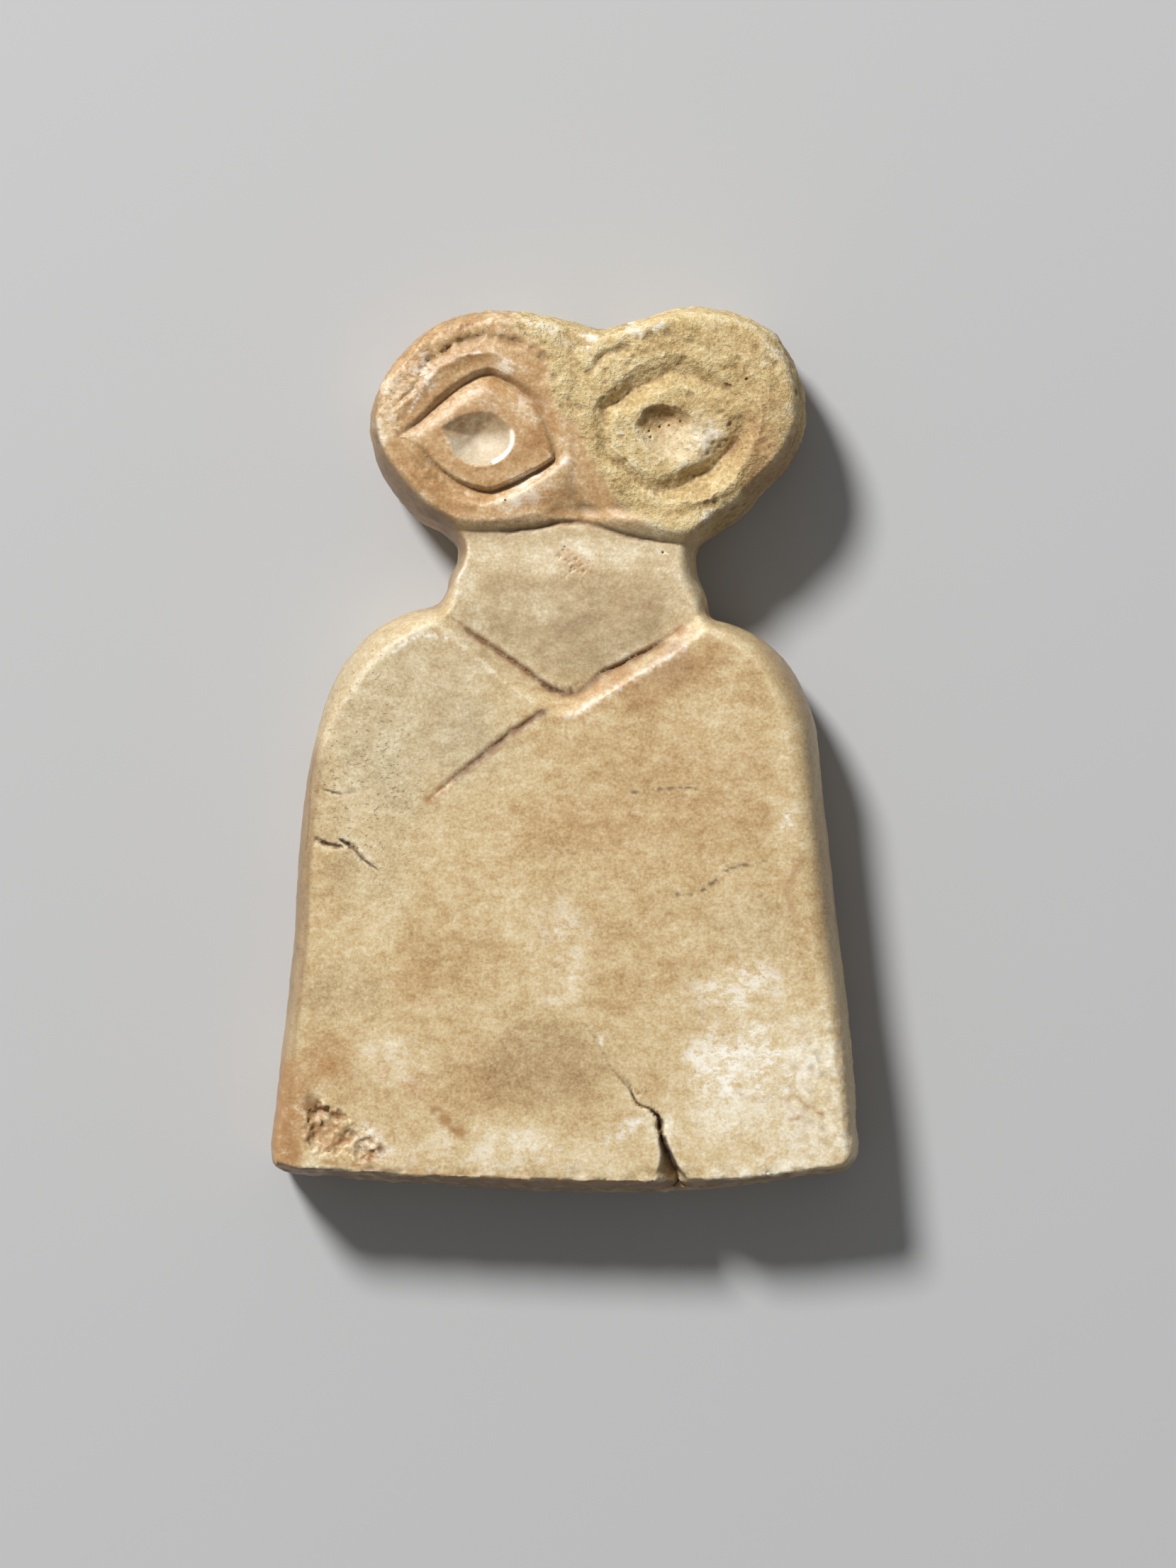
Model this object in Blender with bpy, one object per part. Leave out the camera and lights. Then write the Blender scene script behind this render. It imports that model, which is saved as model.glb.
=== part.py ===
"""An eye idol carved from one slab of alabaster, lying on its back.

The flat back lies on z = 0, the carved face looks up (+Z) and the eyes point to +Y.
The face is a height over the slab: an edge roll all round, a raised head with two
carved eyes, a neck panel set lower, a V neckline and one cut across the chest.
"""
import bpy
import bmesh
import numpy as np
from mathutils import Vector
from mathutils.geometry import delaunay_2d_cdt

# Driving dimensions, in millimetres
HEIGHT = 65.0
WIDTH = 43.1
THICKNESS = 10.0
WIDEST_LEVEL = 4.0        # height of the widest line of the sides
ROLL_SHAPE = 2.2          # 2 is a round edge, more is a squarer one
# The sides below the widest line: height, inset as a share of the edge roll
BACK_LEVELS = ((2.2, 0.05), (0.8, 0.2), (0.2, 0.42), (0.0, 0.65))

# Depths below the top of the slab
NECK_TOP_DEPTH = 1.0      # the neck panel, where it meets the head
NECK_MID_DEPTH = 0.75
NECKLINE_DEPTH = 1.05     # the bottom of the V neckline
NECKLINE_HALF_SPAN = 8.8  # the V dies out on the shoulders at this distance from its axis
NECKLINE_AXIS = 0.3

# Mesh sizes
RIM_STEP = 1.2            # along the outline
LINE_STEP = 0.5           # along carved lines
BODY_STEP = 1.5
NECK_STEP = 0.95
HEAD_STEP = 0.58
NECK_START = 2.0          # the finer grids start at these heights up the idol
HEAD_START = 16.6
PUPIL_SIDES = 24
ROLL_RINGS = (0.05, 0.18, 0.42, 0.72, 1.0)    # parts of the edge roll's width

# The outline at its widest level, clockwise from the dip in the crown: x, y, width of the edge roll
OUTLINE = (
    (2.7, 30.9, 1.1), (5.2, 31.45, 1.1), (7.6, 32.2, 1.1), (10.0, 32.45, 1.1), (12.7, 31.95, 1.1),
    (15.2, 30.75, 1.2), (16.8, 28.5, 1.3), (17.7, 25.6, 1.4), (17.75, 23.8, 1.4), (16.8, 21.3, 1.3),
    (14.7, 19.0, 1.2), (12.9, 17.0, 1.3), (11.0, 15.75, 1.5), (9.85, 14.7, 1.5), (9.75, 13.2, 1.5),
    (10.45, 11.3, 1.4), (10.85, 9.75, 1.2), (12.2, 9.25, 1.4), (14.1, 8.45, 1.9), (16.3, 6.5, 2.2),
    (18.4, 2.2, 2.4), (18.8, -1.2, 2.4), (19.4, -6.5, 2.4), (20.1, -13.0, 2.2), (20.85, -19.0, 1.8),
    (21.3, -24.5, 1.5), (21.45, -27.5, 1.3), (21.5, -29.8, 1.2), (20.75, -30.7, 1.0), (18.0, -31.2, 0.8),
    (8.5, -32.35, 1.1), (-2.0, -32.3, 1.1), (-10.0, -31.8, 0.9), (-18.0, -31.2, 0.8),
    (-20.1, -31.0, 0.8), (-21.2, -30.45, 0.9), (-21.45, -29.2, 1.1), (-21.3, -27.2, 1.3),
    (-21.0, -24.5, 1.4), (-20.35, -19.0, 1.4), (-19.75, -13.0, 1.4), (-19.4, -7.0, 1.3),
    (-18.3, 0.5, 1.6), (-16.3, 6.1, 2.1), (-14.0, 8.75, 2.2), (-11.0, 10.25, 1.8), (-9.3, 10.7, 1.3),
    (-8.65, 11.6, 0.9), (-8.45, 12.6, 0.8), (-7.9, 13.7, 0.8), (-7.8, 14.7, 0.9), (-8.7, 15.75, 1.4),
    (-10.5, 16.75, 1.5), (-12.4, 18.8, 1.4), (-13.9, 21.6, 1.0), (-14.2, 24.0, 0.8), (-13.6, 26.5, 0.8),
    (-12.0, 28.9, 0.9), (-9.3, 31.15, 1.0), (-5.4, 32.15, 1.1), (-1.8, 31.9, 1.1), (0.6, 31.4, 1.1),
)

# The groove round each eyeball, anticlockwise: x, y, depth, width out to the lid, width in on the ball
LEFT_EYE = (
    (-11.0, 22.5, 0.45, 0.7, 1.0), (-8.5, 20.4, 0.75, 1.4, 0.6), (-5.45, 18.85, 1.05, 0.9, 0.6),
    (-2.4, 20.05, 1.1, 0.9, 0.5), (-0.75, 21.05, 0.95, 1.0, 0.6), (-0.75, 22.6, 0.5, 0.8, 1.0),
    (-2.3, 25.9, 0.6, 0.9, 1.3), (-5.2, 27.45, 0.85, 0.7, 1.0), (-8.3, 26.2, 0.9, 0.8, 1.0),
    (-10.2, 24.0, 0.8, 0.8, 0.9),
)
RIGHT_EYE = (
    (2.6, 23.3, 0.25, 0.9, 1.0), (4.0, 21.1, 0.55, 1.0, 0.7), (7.5, 19.0, 0.7, 1.2, 0.9),
    (10.4, 20.0, 0.95, 1.4, 1.2), (12.7, 22.6, 0.5, 1.2, 1.2), (12.6, 24.9, 0.2, 1.1, 1.4),
    (10.6, 26.8, 0.55, 0.8, 1.3), (7.8, 27.75, 0.55, 0.8, 1.2), (4.6, 26.1, 0.8, 0.8, 1.2),
)
# A pupil: centre, half width and half height, deepest point, depth, how round its floor is, turn in degrees
LEFT_PUPIL = ((-6.15, 22.45), (2.8, 2.0), (-6.7, 22.95), 1.25, 1.15, 0.0)
RIGHT_PUPIL = ((7.4, 23.5), (2.4, 1.6), (6.7, 23.7), 0.8, 1.3, 8.0)
RIGHT_HOLLOW = ((8.6, 22.9), (3.6, 2.1), (8.0, 23.2), 0.35, 1.2, 10.0)

# Cut lines: x, y, depth, width on the left of the way along it, width on the right
LEFT_CORNER_CUT = ((-10.6, 23.6, 0.7, 0.6, 0.6), (-11.6, 22.8, 0.5, 0.5, 0.5), (-12.6, 22.2, 0.1, 0.3, 0.3))
LEFT_BROW = (
    (-10.6, 28.3, 0.1, 0.5, 0.6), (-8.3, 29.25, 0.45, 0.4, 0.8), (-5.6, 30.15, 0.45, 0.4, 1.0),
    (-3.0, 29.6, 0.45, 0.5, 0.9), (-1.0, 27.8, 0.15, 0.8, 0.8),
)
RIGHT_BROW = (
    (1.9, 27.5, 0.3, 0.5, 0.6), (2.6, 28.4, 0.45, 0.6, 0.7), (5.4, 29.9, 0.3, 0.6, 1.0),
    (9.4, 29.7, 0.12, 0.8, 1.2), (13.8, 26.8, 0.1, 1.0, 1.2),
)
NECKLINE_CUT = (
    (-8.8, 10.1, 0.1, 0.5, 0.35), (-6.5, 8.4, 0.35, 0.6, 0.35), (-3.0, 6.0, 0.4, 0.6, 0.35),
    (0.0, 4.0, 0.3, 0.5, 0.4), (3.0, 5.5, 0.35, 0.6, 0.4), (5.5, 6.65, 0.35, 0.6, 0.4),
    (8.6, 8.9, 0.1, 0.5, 0.4),
)
CHEST_CUT = ((-1.3, 3.0, 0.2, 0.25, 0.3), (-5.0, 0.3, 0.42, 0.35, 0.4), (-10.1, -3.7, 0.1, 0.2, 0.3))
# The left upper lid stands proud: a cut with a depth below nothing
LEFT_LID = (
    (-12.4, 24.6, -0.05, 0.8, 0.8), (-9.0, 27.8, -0.25, 0.9, 0.9), (-6.6, 28.8, -0.3, 0.9, 0.9),
    (-4.2, 28.7, -0.3, 1.0, 1.0), (-1.2, 26.0, -0.1, 1.0, 1.0),
)
# Damage: the open end of the crack at the base, and the broken corner
BASE_SPLIT = (
    (4.2, -23.7, 0.1, 0.25, 0.25), (7.05, -27.2, 0.5, 0.35, 0.35), (7.1, -28.6, 1.4, 0.45, 0.45),
    (7.4, -30.2, 2.6, 0.9, 0.8), (7.6, -32.4, 3.2, 1.3, 1.2),
)
CORNER_CHIPS = (
    ((-17.0, -26.6), (2.2, 1.7), (-17.6, -26.2), 0.8, 1.0, 20.0),
    ((-16.6, -28.6), (2.4, 1.2), (-17.1, -28.7), 0.6, 1.0, -15.0),
)
CUTS = (NECKLINE_CUT, CHEST_CUT, BASE_SPLIT, LEFT_CORNER_CUT, LEFT_BROW, RIGHT_BROW, LEFT_LID)

# Lower edge of the head's block and its foot on the neck: x, y of the arris, y of the foot
HEAD_STEP_LINE = (
    (-12.0, 19.2, 17.6), (-9.0, 17.35, 16.1), (-6.5, 16.75, 15.85), (-2.5, 17.2, 16.05), (1.2, 18.0, 16.75),
    (4.0, 17.0, 15.75), (8.0, 15.95, 15.0), (9.4, 16.0, 15.0), (13.0, 18.2, 16.8),
)
# V neckline: x, y of its bottom, y of the body's edge below it
NECKLINE = (
    (-9.5, 10.6, 9.4), (-6.5, 8.4, 6.8), (-3.0, 6.0, 4.0), (0.0, 4.0, 2.45), (3.0, 5.5, 3.9),
    (5.5, 6.65, 5.5), (8.4, 8.75, 7.1), (11.0, 10.6, 9.2),
)


def smooth_curve(stations, closed=False, per_span=10):
    """A smooth curve through the stations. Every column after x and y is carried along it."""
    rows = np.array(stations, float)
    if closed:
        rows = np.vstack((rows[-1:], rows, rows[:2]))
    else:
        rows = np.vstack((2 * rows[:1] - rows[1:2], rows, 2 * rows[-1:] - rows[-2:-1]))
    spans = np.diff(rows, axis=0)
    lengths = np.linalg.norm(spans[:, :2], axis=1)[:, None]
    slopes = spans / lengths
    tangents = (slopes[:-1] * lengths[1:] + slopes[1:] * lengths[:-1]) / (lengths[:-1] + lengths[1:])
    lengths = lengths[1:-1]
    t = np.arange(per_span)[:, None, None] / per_span
    curve = (rows[1:-2] * (1 - t) ** 2 * (1 + 2 * t) + rows[2:-1] * t ** 2 * (3 - 2 * t)
             + lengths * (tangents[:-1] * t * (1 - t) ** 2 - tangents[1:] * t ** 2 * (1 - t)))
    curve = curve.transpose(1, 0, 2).reshape(-1, rows.shape[1])
    return curve if closed else np.vstack((curve, rows[-2:-1]))


def nearest_on(curve, points, closed=False):
    """Distance to a curve, the side (+1 on its left) and its other columns at the nearest place."""
    ends = np.roll(curve, -1, axis=0)
    starts = curve
    if not closed:
        starts, ends = starts[:-1], ends[:-1]
    best = np.full(len(points), np.inf)
    side = np.zeros(len(points))
    columns = np.zeros((len(points), curve.shape[1] - 2))
    for start, end in zip(starts, ends):
        way = end[:2] - start[:2]
        offset = points - start[:2]
        t = np.clip(offset @ way / (way @ way), 0, 1)
        gap = offset - t[:, None] * way
        distance = (gap * gap).sum(axis=1)
        closer = distance < best
        best[closer] = distance[closer]
        side[closer] = np.sign(way[0] * offset[closer, 1] - way[1] * offset[closer, 0])
        columns[closer] = start[2:] + t[closer, None] * (end[2:] - start[2:])
    return np.sqrt(best), side, columns


def ease(t):
    t = np.clip(t, 0, 1)
    return t * t * (3 - 2 * t)


def cut(points, stations, sharpness=1.5):
    """The relief of one cut line, zero away from it."""
    distance, side, columns = nearest_on(smooth_curve(stations), points)
    width = np.where(side > 0, columns[:, 1], columns[:, 2])
    return -columns[:, 0] * (1 - np.clip(distance / width, 0, 1)) ** sharpness


def hollow(points, centre, radii, deepest, depth, sharpness, turn):
    """The relief of a bowl with an elliptical rim, whose deepest point is off its centre."""
    cosine, sine = np.cos(np.radians(turn)), np.sin(np.radians(turn))
    turned = np.array(((cosine, sine), (-sine, cosine)))
    ray = (points - deepest) @ turned.T / radii
    shift = turned @ np.subtract(centre, deepest) / radii
    along = ray @ shift
    room = 1 - shift @ shift
    reach = (np.sqrt(along ** 2 + room * (ray * ray).sum(axis=1)) - along) / room
    return -depth * (1 - np.clip(reach, 0, 1) ** sharpness)


def eye_groove(points, stations):
    """The relief of the groove round an eyeball: steep to the lid, rounder on the ball."""
    distance, side, columns = nearest_on(smooth_curve(stations, closed=True), points, closed=True)
    on_ball = side > 0
    width = np.where(on_ball, columns[:, 2], columns[:, 1])
    fall = 1 - np.clip(distance / width, 0, 1)
    return -columns[:, 0] * fall ** np.where(on_ball, 1.6, 1.4)


def level_between(stations, x):
    """The two y columns of a line that crosses the idol from side to side."""
    curve = smooth_curve(stations)
    return np.interp(x, curve[:, 0], curve[:, 1]), np.interp(x, curve[:, 0], curve[:, 2])


def broad_relief(points):
    """The head's block, the neck panel and the body, as depths below the top."""
    x, y = points.T
    arris, foot = level_between(HEAD_STEP_LINE, x)
    bottom, body_edge = level_between(NECKLINE, x)
    cut_strength = ease((NECKLINE_HALF_SPAN - np.abs(x - NECKLINE_AXIS)) / 2.6)
    floor = NECK_MID_DEPTH + (NECKLINE_DEPTH - NECK_MID_DEPTH) * cut_strength
    near_floor = 1 - ease((y - bottom) / 2.8)
    near_head = ease(((y - bottom) / (foot - bottom) - 0.6) / 0.4)
    panel = (NECK_MID_DEPTH + (floor - NECK_MID_DEPTH) * near_floor
             + (NECK_TOP_DEPTH - NECK_MID_DEPTH) * near_head)
    head = NECK_TOP_DEPTH * (1 - np.clip((y - foot) / (arris - foot), 0, 1)) ** 1.15
    body = floor * (1 - np.clip((bottom - y) / (bottom - body_edge), 0, 1)) ** 1.1
    return -np.where(y > foot, head, np.where(y > bottom, panel, body))


def face_relief(points):
    relief = broad_relief(points)
    for stations in (LEFT_EYE, RIGHT_EYE):
        relief += eye_groove(points, stations)
    for shape in (LEFT_PUPIL, RIGHT_PUPIL, RIGHT_HOLLOW) + CORNER_CHIPS:
        relief += hollow(points, *shape)
    for stations in CUTS:
        relief += cut(points, stations)
    return relief


def face_height(points, outline):
    """The face: its relief, rolled down to the widest line over the width of the edge roll."""
    distance, side, columns = nearest_on(outline, points, closed=True)
    inward = np.clip(distance / columns[:, 0], 0, 1)
    rise = np.sqrt(1 - (1 - inward) ** ROLL_SHAPE)
    return WIDEST_LEVEL + (THICKNESS - WIDEST_LEVEL + face_relief(points)) * rise


def evenly(curve, step, closed=False):
    """Points along a curve at even steps, with its other columns."""
    loop = np.vstack((curve, curve[:1])) if closed else curve
    travelled = np.append(0, np.cumsum(np.linalg.norm(np.diff(loop[:, :2], axis=0), axis=1)))
    count = max(int(round(travelled[-1] / step)), 1)
    marks = np.linspace(0, travelled[-1], count + 1)
    if closed:
        marks = marks[:-1]
    return np.stack([np.interp(marks, travelled, column) for column in loop.T], axis=1)


def inward_normals(ring):
    """Unit vectors that point into a clockwise ring."""
    way = np.roll(ring, -1, axis=0)[:, :2] - np.roll(ring, 1, axis=0)[:, :2]
    way /= np.linalg.norm(way, axis=1)[:, None]
    return np.stack((way[:, 1], -way[:, 0]), axis=1)


def carved_lines():
    """The lines that the mesh follows, and whether each one closes."""
    step = evenly(smooth_curve(HEAD_STEP_LINE), LINE_STEP)
    neckline = evenly(smooth_curve(NECKLINE), LINE_STEP)
    lines = [(step[:, :2], False), (step[:, (0, 2)], False), (neckline[:, (0, 2)], False)]
    lines += [(evenly(smooth_curve(eye, True), LINE_STEP, True), True) for eye in (LEFT_EYE, RIGHT_EYE)]
    lines += [(evenly(smooth_curve(stations), LINE_STEP), False) for stations in CUTS]
    for centre, radii, deepest, depth, sharpness, turn in (LEFT_PUPIL, RIGHT_PUPIL):
        angles = np.linspace(0, 2 * np.pi, PUPIL_SIDES + 1)[:-1] + np.radians(turn)
        lines.append((centre + np.stack((np.cos(angles), np.sin(angles)), axis=1) * radii, True))
    return lines


def rim_points():
    """Free points where the slopes of the carving end, and the deepest points of the hollows."""
    found = [np.array([shape[2] for shape in (LEFT_PUPIL, RIGHT_PUPIL) + CORNER_CHIPS])]
    grooves = [(eye, True) for eye in (LEFT_EYE, RIGHT_EYE)] + [(line, False) for line in CUTS]
    for stations, closed in grooves:
        line = evenly(smooth_curve(stations, closed), LINE_STEP, closed)
        way = np.gradient(line[:, :2], axis=0)
        way /= np.linalg.norm(way, axis=1)[:, None]
        left = np.stack((-way[:, 1], way[:, 0]), axis=1)
        left_width, right_width = (line[:, 4], line[:, 3]) if closed else (line[:, 3], line[:, 4])
        found += [line[:, :2] + left * left_width[:, None], line[:, :2] - left * right_width[:, None]]
    return np.vstack(found)


def grid_points():
    """A triangular grid, finer on the head than on the neck and the body."""
    found = []
    for step, low, high in ((BODY_STEP, -HEIGHT / 2, NECK_START), (NECK_STEP, NECK_START, HEAD_START),
                            (HEAD_STEP, HEAD_START, HEIGHT / 2)):
        row_step = step * np.sqrt(0.75)
        for row, y in enumerate(np.arange(low + row_step / 2, high, row_step)):
            x = np.arange(-WIDTH / 2 + (row % 2) * step / 2, WIDTH / 2, step)
            found.append(np.stack((x, np.full_like(x, y), np.full_like(x, step)), axis=1))
    return np.vstack(found)


class Plan:
    """Points of the face in plan, kept apart from each other, and the edges that the mesh follows."""

    def __init__(self, rim, outline):
        self.outline = outline
        self.points = []
        self.cells = {}
        self.edges = [(i, (i + 1) % len(rim)) for i in range(len(rim))]
        for point in rim[:, :2]:
            self.keep(point)

    def keep(self, point):
        self.points.append(Vector(point[:2]))
        self.cells.setdefault((int(point[0] // 1), int(point[1] // 1)), []).append(self.points[-1])
        return len(self.points) - 1

    def is_clear(self, point, gap):
        column, row = int(point[0] // 1), int(point[1] // 1)
        place = Vector(point[:2])
        for cell in ((column + i, row + j) for i in (-1, 0, 1) for j in (-1, 0, 1)):
            if any((other - place).length < gap for other in self.cells.get(cell, ())):
                return False
        return True

    def inside(self, candidates, share):
        """Which candidates lie inside the outline by more than a share of the edge roll."""
        distance, side, columns = nearest_on(self.outline, candidates[:, :2], closed=True)
        return (side < 0) & (distance > share * columns[:, 0])

    def add_line(self, line, closed):
        sound = self.inside(line, 0.5)
        numbers = [self.keep(point) if good else None for point, good in zip(line, sound)]
        pairs = list(zip(numbers, numbers[1:] + numbers[:1])) if closed else list(zip(numbers, numbers[1:]))
        self.edges += [pair for pair in pairs if None not in pair]

    def add_free(self, candidates, gaps, share):
        for point, gap, sound in zip(candidates, gaps, self.inside(candidates, share)):
            if sound and self.is_clear(point, gap):
                self.keep(point)


def plan_face(rim, outline):
    plan = Plan(rim, outline)
    for line, closed in carved_lines():
        plan.add_line(line, closed)
    rims = rim_points()
    plan.add_free(rims, np.full(len(rims), 0.6 * LINE_STEP), 0.6)
    normals = inward_normals(rim)
    for part in ROLL_RINGS:
        ring = rim[:, :2] + normals * (rim[:, 2] * part)[:, None]
        plan.add_free(ring, np.full(len(ring), 0.4 * RIM_STEP * part), 0.93 * part)
    grid = grid_points()
    plan.add_free(grid, 0.62 * grid[:, 2], 1.15)
    return plan


def build_idol():
    outline = smooth_curve(OUTLINE, closed=True)
    rim = evenly(outline, RIM_STEP, closed=True)
    plan = plan_face(rim, outline)
    placed, _, triangles, _, _, _ = delaunay_2d_cdt(plan.points, plan.edges, [], 1, 0.001)
    flat = np.array([tuple(point) for point in placed])
    height = face_height(flat, outline)

    shape = bmesh.new()
    corners = [shape.verts.new((x, y, z)) for (x, y), z in zip(flat, height)]
    for triangle in triangles:
        shape.faces.new([corners[i] for i in triangle])
    bmesh.ops.recalc_face_normals(shape, faces=shape.faces)

    # the sides and the rounded edge of the back, drawn down from the widest line
    normals = inward_normals(rim)
    edge = [side for side in shape.edges if side.is_boundary]
    for corner in {corner for side in edge for corner in side.verts}:
        corner.co.z = WIDEST_LEVEL
    ring = rim[:, :2]
    for level, share in BACK_LEVELS:
        drawn = bmesh.ops.extrude_edge_only(shape, edges=edge)["geom"]
        edge = [part for part in drawn if isinstance(part, bmesh.types.BMEdge)]
        lower_ring = rim[:, :2] + normals * (share * rim[:, 2])[:, None]
        for corner in (part for part in drawn if isinstance(part, bmesh.types.BMVert)):
            number = np.argmin(((ring - corner.co.xy) ** 2).sum(axis=1))
            corner.co.xy = lower_ring[number]
            corner.co.z = level
        ring = lower_ring
    bmesh.ops.contextual_create(shape, geom=edge)
    bmesh.ops.triangulate(shape, faces=[face for face in shape.faces if len(face.verts) > 3])
    bmesh.ops.recalc_face_normals(shape, faces=shape.faces)
    return shape


def fit_to_size(shape):
    """Centres the plan, brings it to its true size and turns millimetres into metres."""
    places = np.array([corner.co[:] for corner in shape.verts])
    low, high = places.min(axis=0), places.max(axis=0)
    middle = (low + high) / 2
    bmesh.ops.translate(shape, verts=shape.verts, vec=(-middle[0], -middle[1], -low[2]))
    spread = high - low
    metre = 0.001
    size = (metre * WIDTH / spread[0], metre * HEIGHT / spread[1], metre * THICKNESS / spread[2])
    bmesh.ops.scale(shape, verts=shape.verts, vec=size)


def alabaster():
    stone = bpy.data.materials.new("alabaster")
    stone.use_nodes = True
    shader = stone.node_tree.nodes["Principled BSDF"]
    shader.inputs["Base Color"].default_value = (0.62, 0.48, 0.30, 1.0)
    shader.inputs["Roughness"].default_value = 0.5
    shader.inputs["Metallic"].default_value = 0.0
    return stone


def main():
    for thing in list(bpy.data.objects):
        bpy.data.objects.remove(thing)
    shape = build_idol()
    fit_to_size(shape)
    mesh = bpy.data.meshes.new("eye_idol")
    shape.to_mesh(mesh)
    shape.free()
    mesh.shade_smooth()
    mesh.set_sharp_from_angle(angle=np.radians(30))
    mesh.materials.append(alabaster())
    idol = bpy.data.objects.new("eye_idol", mesh)
    bpy.context.scene.collection.objects.link(idol)


main()
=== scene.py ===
"""An alabaster eye idol that lies on its back on a pale floor, seen from straight above.

The carved solid is copied, cut into small triangles, laid on its smooth form and given its
fine carving, erosion and damage. Plan points and depths are in millimetres until the end.
"""

import bmesh
import bpy
import numpy as np
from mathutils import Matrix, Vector, noise


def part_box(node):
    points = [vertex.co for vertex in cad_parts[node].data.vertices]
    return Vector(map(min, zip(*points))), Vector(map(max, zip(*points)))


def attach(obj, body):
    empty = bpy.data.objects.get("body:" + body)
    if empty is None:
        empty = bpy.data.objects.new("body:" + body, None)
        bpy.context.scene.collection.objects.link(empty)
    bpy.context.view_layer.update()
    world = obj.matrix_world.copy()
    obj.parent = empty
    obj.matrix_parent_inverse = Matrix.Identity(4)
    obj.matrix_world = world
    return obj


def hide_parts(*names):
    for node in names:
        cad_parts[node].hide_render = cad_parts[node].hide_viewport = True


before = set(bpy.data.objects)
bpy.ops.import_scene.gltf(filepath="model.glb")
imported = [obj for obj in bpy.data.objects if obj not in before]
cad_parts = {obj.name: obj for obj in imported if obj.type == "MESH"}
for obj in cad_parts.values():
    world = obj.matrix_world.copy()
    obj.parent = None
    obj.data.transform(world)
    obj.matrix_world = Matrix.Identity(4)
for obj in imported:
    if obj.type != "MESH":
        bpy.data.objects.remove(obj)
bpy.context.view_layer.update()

MM_PER_METRE = 1000

# The form of the slab, as in the solid
THICKNESS = 10.0
FULL_THICKNESS = 10.31    # as high as the lids stand, before all is brought to the solid's height
WIDEST_LEVEL = 4.0        # height of the widest line of the sides
ROLL_SHAPE = 2.2          # 2 is a round edge, more is a squarer one
# The sides below the widest line: height, inset as a share of the edge roll
BACK_LEVELS = ((0.0, 0.65), (0.2, 0.42), (0.8, 0.2), (2.2, 0.05), (4.0, 0.0))
NECK_TOP_DEPTH = 1.0      # the neck panel, where it meets the head
NECK_MID_DEPTH = 0.75
NECKLINE_DEPTH = 1.05     # the bottom of the V neckline
NECKLINE_HALF_SPAN = 8.8  # the V dies out on the shoulders at this distance from its axis
NECKLINE_AXIS = 0.3
# The head's two lobes: middle, half width and half height
LOBES = (((-6.0, 24.4), (8.6, 8.0)), ((8.0, 24.6), (9.6, 8.4)))

# The outline at its widest level, clockwise from the dip in the crown: x, y, width of the edge roll
OUTLINE = (
    (2.7, 30.9, 1.1), (5.2, 31.45, 1.1), (7.6, 32.2, 1.1), (10, 32.45, 1.1), (12.7, 31.95, 1.1),
    (15.2, 30.75, 1.2), (16.8, 28.5, 1.3), (17.7, 25.6, 1.4), (17.75, 23.8, 1.4), (16.8, 21.3, 1.3),
    (14.7, 19, 1.2), (12.9, 17, 1.3), (11, 15.75, 1.5), (9.85, 14.7, 1.5), (9.75, 13.2, 1.5),
    (10.45, 11.3, 1.4), (10.85, 9.75, 1.2), (12.2, 9.25, 1.4), (14.1, 8.45, 1.9), (16.3, 6.5, 2.2),
    (18.4, 2.2, 2.4), (18.8, -1.2, 2.4), (19.4, -6.5, 2.4), (20.1, -13, 2.2), (20.85, -19, 1.8),
    (21.3, -24.5, 1.5), (21.45, -27.5, 1.3), (21.5, -29.8, 1.2), (20.75, -30.7, 1), (18, -31.2, 0.8),
    (8.5, -32.35, 1.1), (-2, -32.3, 1.1), (-10, -31.8, 0.9), (-18, -31.2, 0.8),
    (-20.1, -31, 0.8), (-21.2, -30.45, 0.9), (-21.45, -29.2, 1.1), (-21.3, -27.2, 1.3),
    (-21, -24.5, 1.4), (-20.35, -19, 1.4), (-19.75, -13, 1.4), (-19.4, -7, 1.3),
    (-18.3, 0.5, 1.6), (-16.3, 6.1, 2.1), (-14, 8.75, 2.2), (-11, 10.25, 1.8), (-9.3, 10.7, 1.3),
    (-8.65, 11.6, 0.9), (-8.45, 12.6, 0.8), (-7.9, 13.7, 0.8), (-7.8, 14.7, 0.9), (-8.7, 15.75, 1.4),
    (-10.5, 16.75, 1.5), (-12.4, 18.8, 1.4), (-13.9, 21.6, 1), (-14.2, 24, 0.8), (-13.6, 26.5, 0.8),
    (-12, 28.9, 0.9), (-9.3, 31.15, 1), (-5.4, 32.15, 1.1), (-1.8, 31.9, 1.1), (0.6, 31.4, 1.1),
)
# Lower edge of the head's block and its foot on the neck: x, y of the arris, y of the foot
HEAD_STEP_LINE = (
    (-12, 19.2, 17.6), (-9, 17.35, 16.1), (-6.5, 16.75, 15.85), (-2.5, 17.2, 16.05), (0.4, 17.9, 16.6),
    (1.5, 18.05, 16.75), (4, 17, 15.75), (8, 15.95, 15), (9.4, 16, 15), (13, 18.2, 16.8),
)
# V neckline: x, y of its bottom, y of the body's edge below it
NECKLINE = (
    (-9.5, 10.6, 9.4), (-6.5, 8.4, 6.8), (-3, 6, 4), (0, 4, 2.45), (3, 5.6, 3.9),
    (5.5, 6.8, 5.5), (8.4, 8.8, 7.1), (11, 10.6, 9.2),
)
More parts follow.
